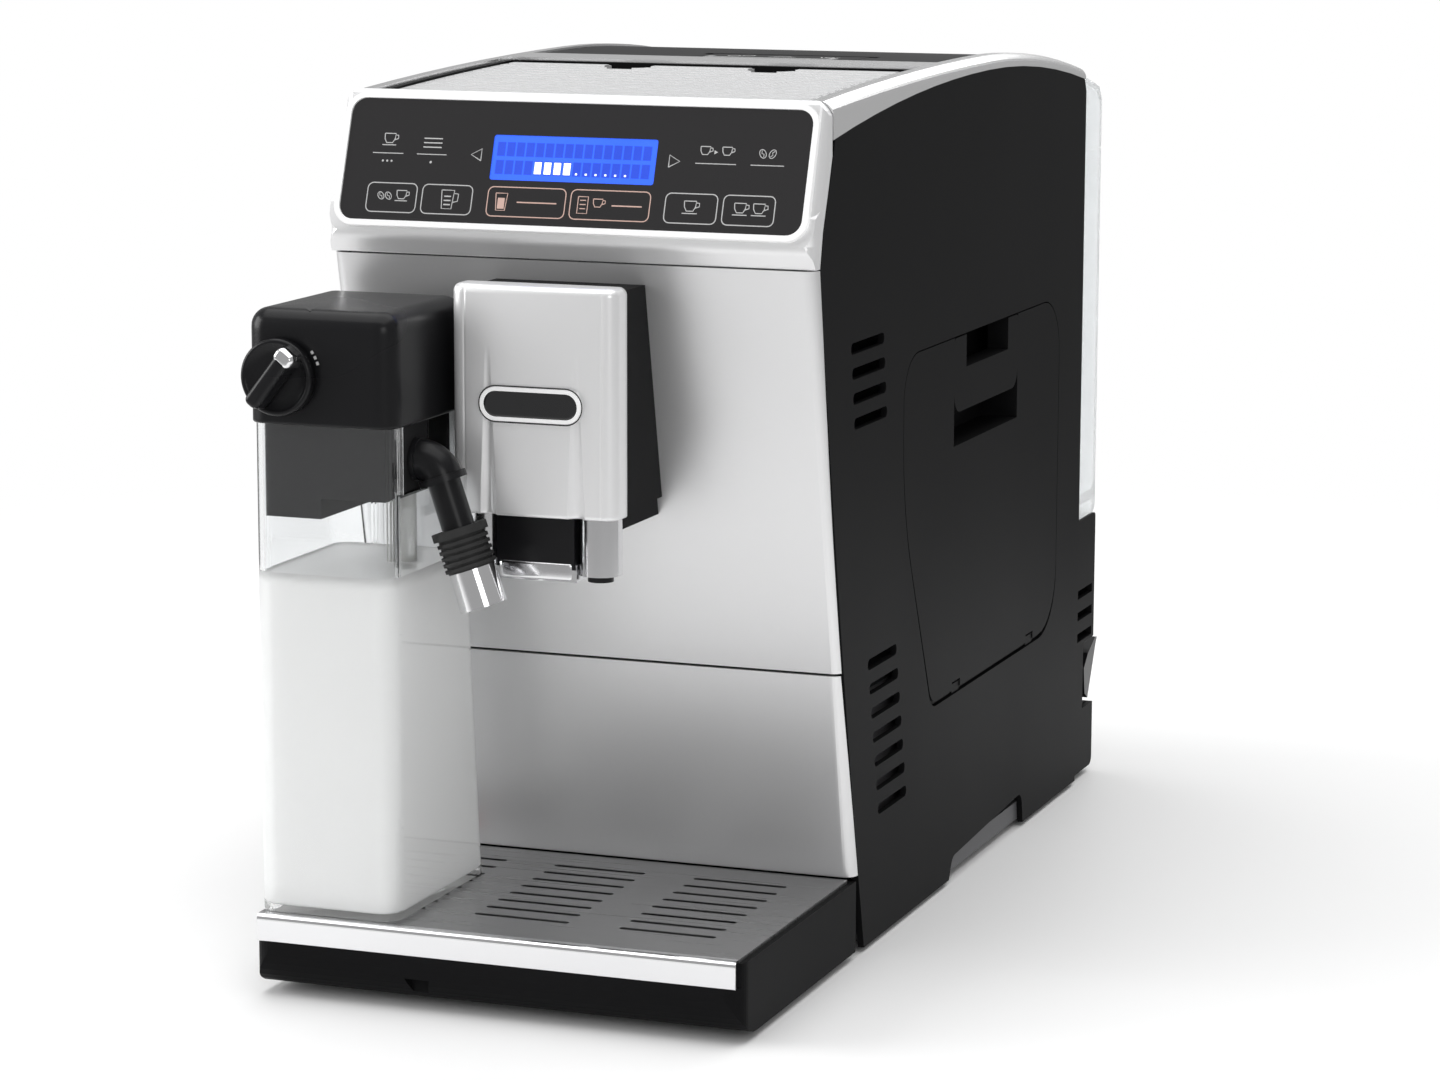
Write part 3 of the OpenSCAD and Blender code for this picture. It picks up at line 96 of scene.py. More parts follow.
def ribbon(path, width, closed=False):
    """Flat strip along a 2-D path: each point is moved half the width to both sides of the mean direction
    of its two segments, and the two sides are joined by quads."""
    p = np.asarray(path, float)
    d = (np.roll(p, -1, 0) - np.roll(p, 1, 0)) if closed else np.gradient(p, axis=0)
    d /= np.maximum(np.linalg.norm(d, axis=1, keepdims=True), 1e-9)
    n = np.stack([-d[:, 1], d[:, 0]], 1) * width / 2
    pts = np.stack([p + n, p - n], 1).reshape(-1, 2)
    m = len(p)
    k = np.arange(m if closed else m - 1)
    j = (k + 1) % m
    return pts, np.stack([2 * k + 1, 2 * j + 1, 2 * j, 2 * k], 1)


def on_glass(points, lift=0.05):
    """Places points (x across, v up the slope) on the tilted glass, lifted off it along its normal."""
    p = np.asarray(points, float)
    up = np.array([0, math.sin(GLASS_TILT), math.cos(GLASS_TILT)])
    out = np.array([0, -math.cos(GLASS_TILT), math.sin(GLASS_TILT)])
    return GLASS_FOOT + p[:, :1] * np.array([1.0, 0, 0]) + p[:, 1:2] * up + lift * out


class Print:
    """Collects flat strips and patches in the plane of the glass into one mesh."""

    def __init__(self):
        self.points, self.faces, self.count = [], [], 0

    def add(self, pts, faces):
        """Takes points (x, v) and faces that count from the first of them."""
        self.points.append(np.asarray(pts, float))
        self.faces += [[i + self.count for i in f] for f in np.asarray(faces).tolist()]
        self.count += len(pts)

    def line(self, path, width=0.42, closed=False):
        """A strip along a path."""
        self.add(*ribbon(path, width, closed))

    def patch(self, x0, v0, x1, v1):
        """A filled rectangle between two corners."""
        self.add([[x0, v0], [x1, v0], [x1, v1], [x0, v1]], [[0, 1, 2, 3]])

    def dot(self, x, v, r, n=14):
        """A filled circle."""
        t = np.linspace(0, 2 * math.pi, n, endpoint=False)
        self.add(np.stack([x + r * np.cos(t), v + r * np.sin(t)], 1), [list(range(n))])

    def piece(self, name, material, lift=0.05):
        """All that was collected, as one piece of the machine's body."""
        verts = on_glass(np.concatenate(self.points), lift)
        return mesh_piece(name, verts, self.faces, "root", material, False)


# ---------------------------------------------------------------- materials
def node_group(name, inputs, outputs, build):
    """A shader node group with named float or colour sockets; build lays out its inside."""
    g = bpy.data.node_groups.new(name, "ShaderNodeTree")
    for label, kind, default in inputs:
        s = g.interface.new_socket(name=label, in_out="INPUT", socket_type=kind)
        if default is not None:
            s.default_value = default
    for label, kind in outputs:
        g.interface.new_socket(name=label, in_out="OUTPUT", socket_type=kind)
    gi, go = g.nodes.new("NodeGroupInput"), g.nodes.new("NodeGroupOutput")
    build(g, gi, go)
    return g


def link(tree, a, b):
    """Joins an output to an input."""
    tree.links.new(a, b)


def math_node(tree, op, a, b=None, clamp=False):
    """One step of arithmetic on numbers or outputs."""
    n = tree.nodes.new("ShaderNodeMath")
    n.operation, n.use_clamp = op, clamp
    for k, v in enumerate((a, b)):
        if v is None:
            continue
        if isinstance(v, (int, float)):
            n.inputs[k].default_value = v
        else:
            link(tree, v, n.inputs[k])
    return n.outputs[0]


def noise(tree, vector, scale, detail, rough):
    """Noise between 0 and 1 at a place, with its scale as a number or an output."""
    n = tree.nodes.new("ShaderNodeTexNoise")
    n.inputs["Detail"].default_value, n.inputs["Roughness"].default_value = detail, rough
    if isinstance(scale, (int, float)):
        n.inputs["Scale"].default_value = scale
    else:
        link(tree, scale, n.inputs["Scale"])
    link(tree, vector, n.inputs["Vector"])
    return n.outputs["Fac"]


def stretched(tree, scale):
    """Object coordinates squeezed by a factor along each axis."""
    tc = tree.nodes.new("ShaderNodeTexCoord")
    mp = tree.nodes.new("ShaderNodeMapping")
    mp.inputs["Scale"].default_value = scale
    link(tree, tc.outputs["Object"], mp.inputs["Vector"])
    return mp.outputs["Vector"]


def swing(tree, value, amount):
    """A noise value turned into an offset about zero: the value less one half, times an amount."""
    return math_node(tree, "MULTIPLY", math_node(tree, "SUBTRACT", value, 0.5), amount)


def give_out(tree, gi, go, shade, rough, least_rough, height):
    """Outputs of a finish: the colour times the shade, a roughness with a floor under it, and the height."""
    colour = tree.nodes.new("ShaderNodeVectorMath")
    colour.operation = "SCALE"
    link(tree, gi.outputs["Colour"], colour.inputs[0])
    link(tree, shade, colour.inputs["Scale"])
    link(tree, colour.outputs[0], go.inputs["Colour"])
    link(tree, math_node(tree, "MAXIMUM", rough, least_rough), go.inputs["Roughness"])
    link(tree, height, go.inputs["Height"])


def build_moulded(g, gi, go):
    """Moulded or painted skin: fine pores plus slow clouds. Height is the fine part; the shade is a factor
    about 1 that varies the colour; the clouds also smudge the roughness."""
    at, tint = stretched(g, (1, 1, 1)), gi.outputs["Tint"]
    fine = noise(g, at, gi.outputs["Grain"], 3, 0.6)
    slow = noise(g, at, gi.outputs["Clouds"], 2, 0.5)
    shade = math_node(g, "ADD", swing(g, slow, tint), 1.0)
    shade = math_node(g, "ADD", shade, swing(g, fine, math_node(g, "MULTIPLY", tint, 0.6)))
    rough = math_node(g, "ADD", gi.outputs["Roughness"], swing(g, slow, gi.outputs["Smudge"]))
    give_out(g, gi, go, shade, rough, 0.02, fine)


def build_brushed(g, gi, go):
    """Brushed metal: noise drawn out along one axis gives streaks in height, roughness and colour."""
    streak = noise(g, stretched(g, (2, 160, 160)), gi.outputs["Streaks"], 3, 0.6)
    cloud = noise(g, stretched(g, (1, 1, 1)), 9.0, 2, 0.5)
    rough = math_node(g, "ADD", gi.outputs["Roughness"], swing(g, streak, 0.22))
    rough = math_node(g, "ADD", rough, swing(g, cloud, 0.08))
    shade = math_node(g, "ADD", swing(g, streak, 0.16), 1.0)
    give_out(g, gi, go, shade, rough, 0.03, streak)


def build_fade(g, gi, go):
    """Mask that is 1 near the origin and falls smoothly to 0 between two radii on the floor."""
    flat = g.nodes.new("ShaderNodeVectorMath")
    flat.operation = "LENGTH"
    link(g, stretched(g, (1, 1, 0)), flat.inputs[0])
    fall = g.nodes.new("ShaderNodeMapRange")
    fall.interpolation_type = "SMOOTHERSTEP"
    for key, v in (("From Min", 0.35), ("From Max", 1.15), ("To Min", 1.0), ("To Max", 0.0)):
        fall.inputs[key].default_value = v
    link(g, flat.outputs["Value"], fall.inputs["Value"])
    link(g, fall.outputs["Result"], go.inputs["Mask"])


F, C = "NodeSocketFloat", "NodeSocketColor"
WHITE = (1.0, 1.0, 1.0, 1.0)
FINISH_OUT = [("Colour", C), ("Roughness", F), ("Height", F)]
MOULDED = node_group("moulded skin", [("Colour", C, (0.5, 0.5, 0.5, 1)), ("Grain", F, 900.0),
                                      ("Clouds", F, 8.0), ("Tint", F, 0.05), ("Roughness", F, 0.4),
                                      ("Smudge", F, 0.08)], FINISH_OUT, build_moulded)
BRUSHED = node_group("brushed metal", [("Colour", C, (0.6, 0.6, 0.6, 1)), ("Streaks", F, 6.0),
                                       ("Roughness", F, 0.3)], FINISH_OUT, build_brushed)


def finish(name, group, colour, bump=0.0, bump_size=0.0002, fixed=None, **values):
    """A Principled material whose colour, roughness and bump come from a shared group."""
    m = bpy.data.materials.new(name)
    m.use_nodes = True
    t = m.node_tree
    bsdf = t.nodes["Principled BSDF"]
    g = t.nodes.new("ShaderNodeGroup")
    g.node_tree = group
    g.inputs["Colour"].default_value = (*colour, 1)
    for key, v in values.items():
        g.inputs[key].default_value = v
    link(t, g.outputs["Colour"], bsdf.inputs["Base Color"])
    link(t, g.outputs["Roughness"], bsdf.inputs["Roughness"])
    for key, v in (fixed or {}).items():
        bsdf.inputs[key].default_value = v
    if bump:
        b = t.nodes.new("ShaderNodeBump")
        b.inputs["Strength"].default_value, b.inputs["Distance"].default_value = bump, bump_size
        link(t, g.outputs["Height"], b.inputs["Height"])
        link(t, b.outputs["Normal"], bsdf.inputs["Normal"])
    return m


silver = finish("satin silver paint", MOULDED, (0.80, 0.80, 0.805), bump=0.05, bump_size=0.00005,
                fixed={"Metallic": 0.75, "Coat Weight": 0.15, "Coat Roughness": 0.25},
                Grain=2600.0, Tint=0.05, Roughness=0.36, Smudge=0.06)
# A lighter, less metallic copy of the satin silver paint for the fascia and the spout cover: painted light
# that lifts them out of shade.
silver_painted_lighter = finish("satin silver painted lighter", MOULDED, (0.88, 0.88, 0.885), bump=0.04, bump_size=0.00005,
                     fixed={"Metallic": 0.45, "Coat Weight": 0.15, "Coat Roughness": 0.25},
                     Grain=2600.0, Tint=0.05, Roughness=0.32, Smudge=0.05)
trim_silver = finish("bright satin silver", MOULDED, (0.84, 0.84, 0.845), bump=0.03, bump_size=0.00005,
                     fixed={"Metallic": 0.9}, Grain=2600.0, Tint=0.04, Roughness=0.22, Smudge=0.05)
shelf_silver = finish("pale satin silver", MOULDED, (0.76, 0.76, 0.765), bump=0.03, bump_size=0.00005,
                      fixed={"Metallic": 0.25}, Grain=2600.0, Tint=0.03, Roughness=0.25, Smudge=0.05)
# The rims of the spout badge and the display bezel are near white and glow faintly: a painted reflection in
# place of their polished metal's shine.
rim_painted_glow = finish("rim with painted glow", MOULDED, (0.93, 0.93, 0.93),
                   fixed={"Metallic": 0.3, "Emission Color": WHITE, "Emission Strength": 0.18},
                   Tint=0.02, Roughness=0.3)
chrome = finish("polished chrome", MOULDED, (0.80, 0.80, 0.81), fixed={"Metallic": 1.0},
                Grain=500.0, Tint=0.02, Roughness=0.08, Smudge=0.05)
satin_chrome = finish("satin chrome", MOULDED, (0.74, 0.74, 0.75), fixed={"Metallic": 1.0},
                      Grain=500.0, Tint=0.02, Roughness=0.16, Smudge=0.05)
steel_plate = finish("brushed plate", BRUSHED, (0.38, 0.38, 0.385), bump=0.08, bump_size=0.0001,
                     fixed={"Metallic": 1.0}, Streaks=5.0, Roughness=0.30)
burr_steel = finish("ground steel", BRUSHED, (0.45, 0.45, 0.46), bump=0.05, bump_size=0.0001,
                    fixed={"Metallic": 1.0}, Streaks=9.0, Roughness=0.35)
cast_metal = finish("cast aluminium", MOULDED, (0.55, 0.55, 0.56), bump=0.3, fixed={"Metallic": 1.0},
                    Grain=900.0, Tint=0.1, Roughness=0.45, Smudge=0.1)
side_black = finish("satin black panel", MOULDED, (0.0085, 0.0085, 0.009), bump=0.10, bump_size=0.0001,
                    fixed={"IOR": 1.085}, Grain=1500.0, Tint=0.25, Roughness=0.42, Smudge=0.10)
gloss_black = finish("gloss black", MOULDED, (0.006, 0.006, 0.007),
                     fixed={"Coat Weight": 0.6, "Coat Roughness": 0.04},
                     Grain=600.0, Tint=0.10, Roughness=0.14, Smudge=0.06)
half_gloss_black = finish("half gloss black", MOULDED, (0.008, 0.008, 0.009), bump=0.03, bump_size=0.00006,
                          fixed={"Specular IOR Level": 0.22}, Grain=1500.0, Tint=0.15, Roughness=0.28,
                          Smudge=0.08)
lid_black = finish("satin lid", MOULDED, (0.020, 0.020, 0.021), bump=0.03, bump_size=0.00006,
                   fixed={"IOR": 1.07}, Grain=1500.0, Tint=0.15, Roughness=0.35, Smudge=0.08)
panel_glass = finish("dark glass", MOULDED, (0.010, 0.009, 0.010),
                     fixed={"Coat Weight": 0.75, "Coat Roughness": 0.02},
                     Grain=300.0, Tint=0.1, Roughness=0.10, Smudge=0.04)
inner_grey = finish("inner moulding", MOULDED, (0.09, 0.09, 0.095), bump=0.1, bump_size=0.0001,
                    Grain=1200.0, Tint=0.15, Roughness=0.5, Smudge=0.08)
rubber = finish("ribbed rubber", MOULDED, (0.012, 0.012, 0.012), bump=0.25, bump_size=0.0001,
                Grain=2200.0, Tint=0.2, Roughness=0.62, Smudge=0.08)
board_green = finish("board lacquer", MOULDED, (0.02, 0.12, 0.05), bump=0.1, bump_size=0.0001, Roughness=0.35)
hose_skin = finish("translucent hose", MOULDED, (0.75, 0.75, 0.72), fixed={"Transmission Weight": 0.4},
                   Roughness=0.35)
float_red = finish("red float", MOULDED, (0.55, 0.03, 0.02), bump=0.05, bump_size=0.0001, Roughness=0.4)
# The milk glows faintly: painted light that makes up for the light the clear jug wall holds back.
milk_painted_glow = finish("milk", MOULDED, (0.82, 0.82, 0.815),
                    fixed={"Emission Color": (1.0, 1.0, 0.99, 1.0), "Emission Strength": 0.08},
                    Tint=0.01, Roughness=0.3)
clear_wall = finish("clear plastic", MOULDED, (0.97, 0.98, 0.985),
                    fixed={"Transmission Weight": 1.0, "IOR": 1.45}, Tint=0.01, Roughness=0.03, Smudge=0.02)
# The frosted tank plastic glows faintly: painted light that makes it look whiter.
frosted_wall_painted_glow = finish("frosted clear plastic", MOULDED, (0.90, 0.92, 0.93),
                      fixed={"Transmission Weight": 0.85, "IOR": 1.4, "Emission Color": WHITE,
                             "Emission Strength": 0.08}, Tint=0.02, Roughness=0.22, Smudge=0.05)


def glowing(name, colour, strength, spread=0.15):
    """A lit surface: it gives off its own colour, which varies a little with slow noise."""
    m = finish(name, MOULDED, colour, fixed={"Emission Strength": strength}, Clouds=60.0, Tint=spread)
    group = next(n for n in m.node_tree.nodes if n.bl_idname == "ShaderNodeGroup")
    glow = m.node_tree.nodes["Principled BSDF"].inputs["Emission Color"]
    link(m.node_tree, group.outputs["Colour"], glow)
    return m


lcd_blue = glowing("lit blue display", (0.022, 0.10, 0.80), 0.75)
lcd_cell = glowing("darker display cell", (0.012, 0.05, 0.48), 0.7)
lcd_white = glowing("display mark", (0.85, 0.92, 1.0), 0.9, 0.02)
# Both prints keep their grey or warm colour and also give off a faint glow of it: painted light on the glass,
# on the powder lid and round the knob.
grey_print_painted_glow = glowing("grey print with painted glow", (0.50, 0.50, 0.50), 0.05, 0.05)
warm_print_painted_glow = glowing("warm print with painted glow", (0.62, 0.42, 0.36), 0.05, 0.05)

NODE_FINISH = {
    silver: ["front_panel", "grounds_panel"],
    silver_painted_lighter: ["fascia"],
    shelf_silver: ["cup_shelf"],
    trim_silver: ["top_trim", "spout_cover", "powder_handle"],
    rim_painted_glow: ["spout_badge", "bezel_ring"],
    chrome: ["tray_lip", "milk_tip"],
    satin_chrome: ["spout_nozzles"],
    steel_plate: ["tray_grid"],
    burr_steel: ["ring_burr", "cone_burr", "cover_screws"],
    cast_metal: ["boiler"],
    side_black: ["left_side_panel", "right_side_panel", "service_door", "rear_base", "drip_tray",
                 "spout_housing", "power_inlet", "steam_nozzle", "door_handle", "door_pins", "shelf_well"],
    half_gloss_black: ["carafe_lid", "milk_elbow", "froth_knob", "spout_body", "main_switch"],
    lid_black: ["bean_lid", "powder_lid", "lid_insert"],
    panel_glass: ["control_glass"],
    lcd_blue: ["lcd_display"],
    inner_grey: ["base_pan", "chassis", "bean_hopper", "powder_funnel", "grinder_housing", "grinder_motor",
                 "brew_unit", "brew_piston", "water_pump", "tank_valve", "grounds_container", "grind_dial"],
    rubber: ["feet", "spout_grip"],
    board_green: ["control_board"],
    hose_skin: ["hoses", "intake_tube"],
    float_red: ["level_float"],
    clear_wall: ["milk_jug"],
    frosted_wall_painted_glow: ["water_tank", "tank_lid"],
}
for node_material, node_names in NODE_FINISH.items():
    for node_name in node_names:
        skin = nodes[node_name].data.materials
        skin.clear()
        skin.append(node_material)


# ---------------------------------------------------------------- milk
def milk_body():
    """Milk in the jug: rounded rectangles stacked from the floor to the level, each as wide as the jug
    inside at its height, where the back wall leans; the last ring curls up by a small meniscus before the
    flat top."""
    level, meniscus, corner, layers = 161.0, 0.8, 5.9, 24
    low, skin = JUG_FOOT + JUG_FLOOR, JUG_WALL - 0.15
    heights = np.concatenate([[low - 0.2], np.linspace(low + 0.6, level + meniscus, layers)])
    rings = []
    for k, z in enumerate(heights):
        back = JUG_BACK_LOW + (JUG_BACK_TOP - JUG_BACK_LOW) * ((z - JUG_FOOT) / (JUG_TOP - JUG_FOOT))
        width, depth = JUG_X[1] - JUG_X[0] - 2 * skin, back - JUG_FRONT - 2 * skin
        shrink = 0.6 if k == 0 else 0.0
        ring = rounded_ring(width - shrink, depth - shrink, corner, 8)
        ring += [(JUG_X[0] + JUG_X[1]) / 2, (JUG_FRONT + back) / 2]
        rings.append(np.column_stack([ring, np.full(len(ring), z)]))
    centre, brim = rings[-1].mean(0), rings[-1]
    for pull, drop in ((0.985, 0.45), (0.96, 0.75), (0.90, meniscus), (0.5, meniscus)):
        top = centre + (brim - centre) * [pull, pull, 0]
        top[:, 2] = level + meniscus - drop
        rings.append(top)
    m = len(brim)
    pts = np.concatenate(rings + [[centre - [0, 0, meniscus]], [rings[0].mean(0)]])
    faces = grid_faces(len(rings), m, True)
    last, middle = (len(rings) - 1) * m, len(pts) - 2
    k = np.arange(m)
    faces += np.stack([last + k, last + (k + 1) % m, np.full(m, middle)], 1).tolist()
    faces += np.stack([(k + 1) % m, k, np.full(m, middle + 1)], 1).tolist()
    mesh_piece("milk", pts, faces, "jug", milk_painted_glow)


milk_body()


# ---------------------------------------------------------------- control panel
# Strokes and icons in millimetres on the glass, where a place is (x across, v up the slope from its foot)
THIN, FINE, FRAME, BOLD = 0.3, 0.36, 0.4, 0.5
CUP = np.array([[-2.4, 2.6], [-2.2, 0.4], [-1.3, -1.2], [1.3, -1.2], [2.2, 0.4], [2.4, 2.6], [-2.4, 2.6]])
CUP_EAR = np.array([[2.35, 2.0], [3.6, 1.9], [3.7, 0.6], [2.1, 0.0]])
SAUCER = np.array([[-3.0, -2.1], [3.0, -2.1]])
BEAN_CREASE = np.array([[0.2, 1.2], [-0.3, 0.3], [0.3, -0.3], [-0.2, -1.2]])


def draw_cup(ink, x, v, size=1.0, with_saucer=True):
    """A cup seen from the side, with its ear."""
    for path in (CUP, CUP_EAR) + ((SAUCER,) if with_saucer else ()):
        ink.line(path * size + [x, v], FINE)


def draw_bean(ink, x, v, size=1.0, turn=0.7):
    """A coffee bean: an ellipse and its crease, both turned."""
    t = np.linspace(0, 2 * math.pi, 14, endpoint=False)
    c, q = math.cos(turn), math.sin(turn)
    turned = np.array([[c, q], [-q, c]])
    edge = np.stack([1.1 * size * np.cos(t), 1.6 * size * np.sin(t)], 1)
    ink.line(edge @ turned + [x, v], THIN, True)
    ink.line(BEAN_CREASE * size @ turned + [x, v], 0.28)


def key_prints(grey, warm):
    """Frames of the six keys and the icon on each, the two milk keys in the warm colour."""
    keys = [(-82.2, -61.8), (-59.5, -39.0), (-32.6, -1.1), (1.0, 32.7), (38.7, 59.2), (61.5, 81.7)]
    height, middle, corner, milk_keys = 11.3, 8.95, 2.2, (2, 3)
    for k, (a, b) in enumerate(keys):
        ring = rounded_ring(b - a, height, corner, 6) + [(a + b) / 2, middle]
        (warm if k in milk_keys else grey).line(ring, FRAME, True)
    # ground coffee: two beans and a cup
    draw_bean(grey, -76.5, 9.6)
    draw_bean(grey, -73.4, 9.6)
    draw_cup(grey, -68.0, 9.6, 0.85)
    # a mug with an ear and three level bars in it
    grey.line([[-51.6, 12.6], [-51.0, 5.4], [-47.0, 5.4], [-46.4, 12.6], [-51.6, 12.6]], FINE)
    grey.line([[-46.6, 11.4], [-44.6, 11.2], [-44.8, 8.4], [-46.8, 7.9]], FINE)
    for v in (7.0, 8.6, 10.2):
        grey.line([[-50.4, v], [-47.6, v]], BOLD)
    # a tapered glass, partly filled, and its name as a bar
    warm.line([[-29.4, 12.2], [-28.8, 5.6], [-25.2, 5.6], [-24.6, 12.2], [-29.4, 12.2]], FINE)
    warm.patch(-28.4, 6.2, -25.6, 10.4)
    warm.line([[-20.6, 8.9], [-4.6, 8.9]], BOLD)
    # a straight glass in layers, a cup and their name as a bar
    warm.line([[4.0, 12.0], [4.0, 5.6], [8.0, 5.6], [8.0, 12.0], [4.0, 12.0]], FINE)
    for v in (7.4, 9.0, 10.6):
        warm.line([[4.8, v], [7.2, v]], FINE)
    draw_cup(warm, 12.0, 9.2, 0.8, False)
    warm.line([[17.6, 8.9], [29.6, 8.9]], BOLD)
    # one cup, two cups
    draw_cup(grey, 48.6, 9.2)
    draw_cup(grey, 68.2, 9.2, 0.95)
    draw_cup(grey, 75.6, 9.2, 0.95)


def touch_prints(grey):
    """Touch marks on both sides of the display, over and under four lines, and its two arrows."""
    line_v, dot_v, cup_v = 26.2, 23.2, 30.6
    for a, b in ((-82.2, -69.5), (-63.9, -51.7), (48.6, 64.6), (70.3, 83.3)):
        grey.line([[a, line_v], [b, line_v]], 0.34)
    draw_cup(grey, -75.8, 31.4, 0.95)
    for k in range(3):
        grey.dot(-77.6 + 1.8 * k, dot_v, 0.42)
    for k in range(3):
        grey.line([[-61.6, 29.0 + 1.7 * k], [-54.0, 29.0 + 1.7 * k]], 0.45)
    grey.dot(-57.8, dot_v, 0.5)
    draw_cup(grey, 52.0, cup_v, 0.8, False)
    draw_cup(grey, 60.6, cup_v, 0.8, False)
    grey.add([[55.6, 29.8], [57.0, cup_v], [55.6, 31.4]], [[0, 1, 2]])
    draw_bean(grey, 74.6, cup_v, 1.1, 0.5)
    draw_bean(grey, 78.4, cup_v, 1.1, -0.5)
    grey.line([[-37.4, 24.4], [-41.6, 26.7], [-37.4, 29.0], [-37.4, 24.4]], FRAME)
    grey.line([[38.2, 24.4], [42.4, 26.7], [38.2, 29.0], [38.2, 24.4]], FRAME)


def display_blocks(cells, marks):
    """Two rows of darker cells; in the lower row four cells are lit and six hold a small dot."""
    first, step, columns, width, height = -31.2, 3.92, 16, 3.2, 5.4
    for v in (26.6, 19.6):
        for k in range(columns):
            x = first + k * step
            cells.patch(x, v, x + width, v + height)
    for k in range(4, 14):
        x = first + k * step
        if k < 8:
            marks.patch(x + 0.2, 20.0, x + 3.0, 24.6)
        else:
            marks.patch(x + 1.2, 20.1, x + 2.0, 20.8)


def panel_prints():
    """Prints on the glass and blocks on the display behind it, each colour as one piece."""
    grey, warm, cells, marks = Print(), Print(), Print(), Print()
    key_prints(grey, warm)
    touch_prints(grey)
    display_blocks(cells, marks)
    grey.piece("key_prints", grey_print_painted_glow)
    warm.piece("milk_key_prints", warm_print_painted_glow)
    cells.piece("display_cells", lcd_cell, -0.16)
    marks.piece("display_marks", lcd_white, -0.12)


panel_prints()


# ---------------------------------------------------------------- spout, carafe lid, knob, top
def sheet(name, grid, body, material, wrap=False, ends=(False, False), wall=0.0, skip=None):
    """A grid of points, row by row. An end that is True gets a fan to its middle, skip(x, y, z) leaves out
    the faces whose middle it is true for, and wall thickens the sheet inwards."""
    g = np.asarray(grid, float)
    rows, cols = g.shape[:2]
    pts = g.reshape(-1, 3)
    faces = grid_faces(rows, cols, wrap)
    if skip:
        faces = [f for f in faces if not skip(*pts[f].mean(0))]
    k = np.arange(cols)
    for end, row in zip(ends, (0, rows - 1)):
        if end:
            a, b, c = row * cols + k, row * cols + (k + 1) % cols, np.full(cols, len(pts))
            faces += np.stack([b, a, c] if row == 0 else [a, b, c], 1).tolist()
            pts = np.vstack([pts, g[row].mean(0)])
    piece = mesh_piece(name, pts, faces, body, material)
    if wall:
        thick = piece.modifiers.new("wall", "SOLIDIFY")
        thick.thickness, thick.offset = wall * MM, -1.0
    return piece


def stacked(w, h, r, levels, n=10):
    """Rounded rectangles about the origin, one for each (height, inset) of levels, smallest radius 0.4."""
    rings = []
    for z, d in levels:
        q = rounded_ring(w - 2 * d, h - 2 * d, max(r - d, 0.4), n)
        rings.append(np.column_stack([q, np.full(len(q), z)]))
    return np.array(rings)


def round_over(top, r, steps=8):
    """Levels of a quarter circle of radius r that ends at the height top."""
    return [(top - r + r * math.sin(a), r * (1 - math.cos(a))) for a in np.linspace(0, math.pi / 2, steps)]


def cover_path():
    """Plan of the sliding cover from its left back edge round the front to the right one: straight sides,
    corners of radius 5 and a face that bows with the square of x. Points lie closer at the two flutes."""
    corner, corner_y, corner_end, side_end = 5.0, -193.2, 262, -192.4
    bow, flute = 2.3, 3.7
    outer = np.linspace(-27.9, -FLUTE_X - flute - 0.3, 22)
    at_flute = np.linspace(-FLUTE_X - flute, -FLUTE_X + flute, 34)
    left_front = np.concatenate([outer, at_flute])
    inner = np.linspace(-FLUTE_X + flute + 0.6, FLUTE_X - flute - 0.6, 24)
    across = np.concatenate([left_front, inner, -left_front[::-1]])
    a = np.radians(np.linspace(180, corner_end, 10))
    turn = np.stack([corner - COVER_HALF + corner * np.cos(a), corner_y + corner * np.sin(a)], 1)
    side = np.stack([np.full(4, -COVER_HALF), np.linspace(COVER_BACK, side_end, 4)], 1)
    left = np.concatenate([side, turn])
    front = np.stack([across, COVER_FRONT + bow * (across / COVER_HALF) ** 2], 1)
    return np.concatenate([left, front, left[::-1] * [-1, 1]])


def spout_cover():
    """Sliding cover: the cover's path stacked over the height. Each flute is a shallow round trough that
    widens and deepens downwards; a fine groove runs along each upright edge and ends below the rounded
    upper edge, a quarter circle of radius 3; the top is filled towards the middle of the back edge."""
    edge_radius, flute_top, flute_length, flute_depth = 3.0, 246.0, 64.0, 2.4
    groove_x, groove_half, groove_depth, groove_top = 27.2, 0.35, 0.22, COVER_TOP - 0.3
    path = cover_path()
    along = np.gradient(path, axis=0)
    along /= np.linalg.norm(along, axis=1, keepdims=True)
    inward = np.stack([-along[:, 1], along[:, 0]], 1)
    groove = groove_depth * np.exp(-(((np.abs(path[:, 0]) - groove_x) / groove_half) ** 2))
    groove *= path[:, 1] < COVER_FRONT + 2.9
    levels = [(COVER_LOW, 0.6), (COVER_LOW + 0.2, 0.25), (COVER_LOW + 0.6, 0.0)]
    levels += [(z, 0.0) for z in np.linspace(COVER_LOW + 1.5, COVER_TOP - edge_radius - 0.2, 60)]
    levels += round_over(COVER_TOP, edge_radius, 9)
    rows = []
    for z, inset in levels:
        down = np.clip((flute_top - z) / flute_length, 0, 1)
        trough = np.zeros(len(path))
        for middle in (-FLUTE_X, FLUTE_X):
            u = (path[:, 0] - middle) / (0.8 + 2.6 * down)
            trough += flute_depth * down ** 1.5 * np.clip(1 - u * u, 0, 1)
        fade = min(max((groove_top - z) / 2.5, 0), 1)
        p = path + inward * (inset + groove * fade + trough)[:, None]
        rows.append(np.column_stack([p, np.full(len(p), z)]))
    rim, back_middle = rows[-1], np.array([0.0, COVER_BACK, COVER_TOP])
    rows += [rim + (back_middle - rim) * pull for pull in (0.3, 0.6, 0.85)]
    piece = sheet("spout_cover_skin", rows, "spout", silver_painted_lighter, ends=(False, True), wall=1.5)
    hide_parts("spout_cover")


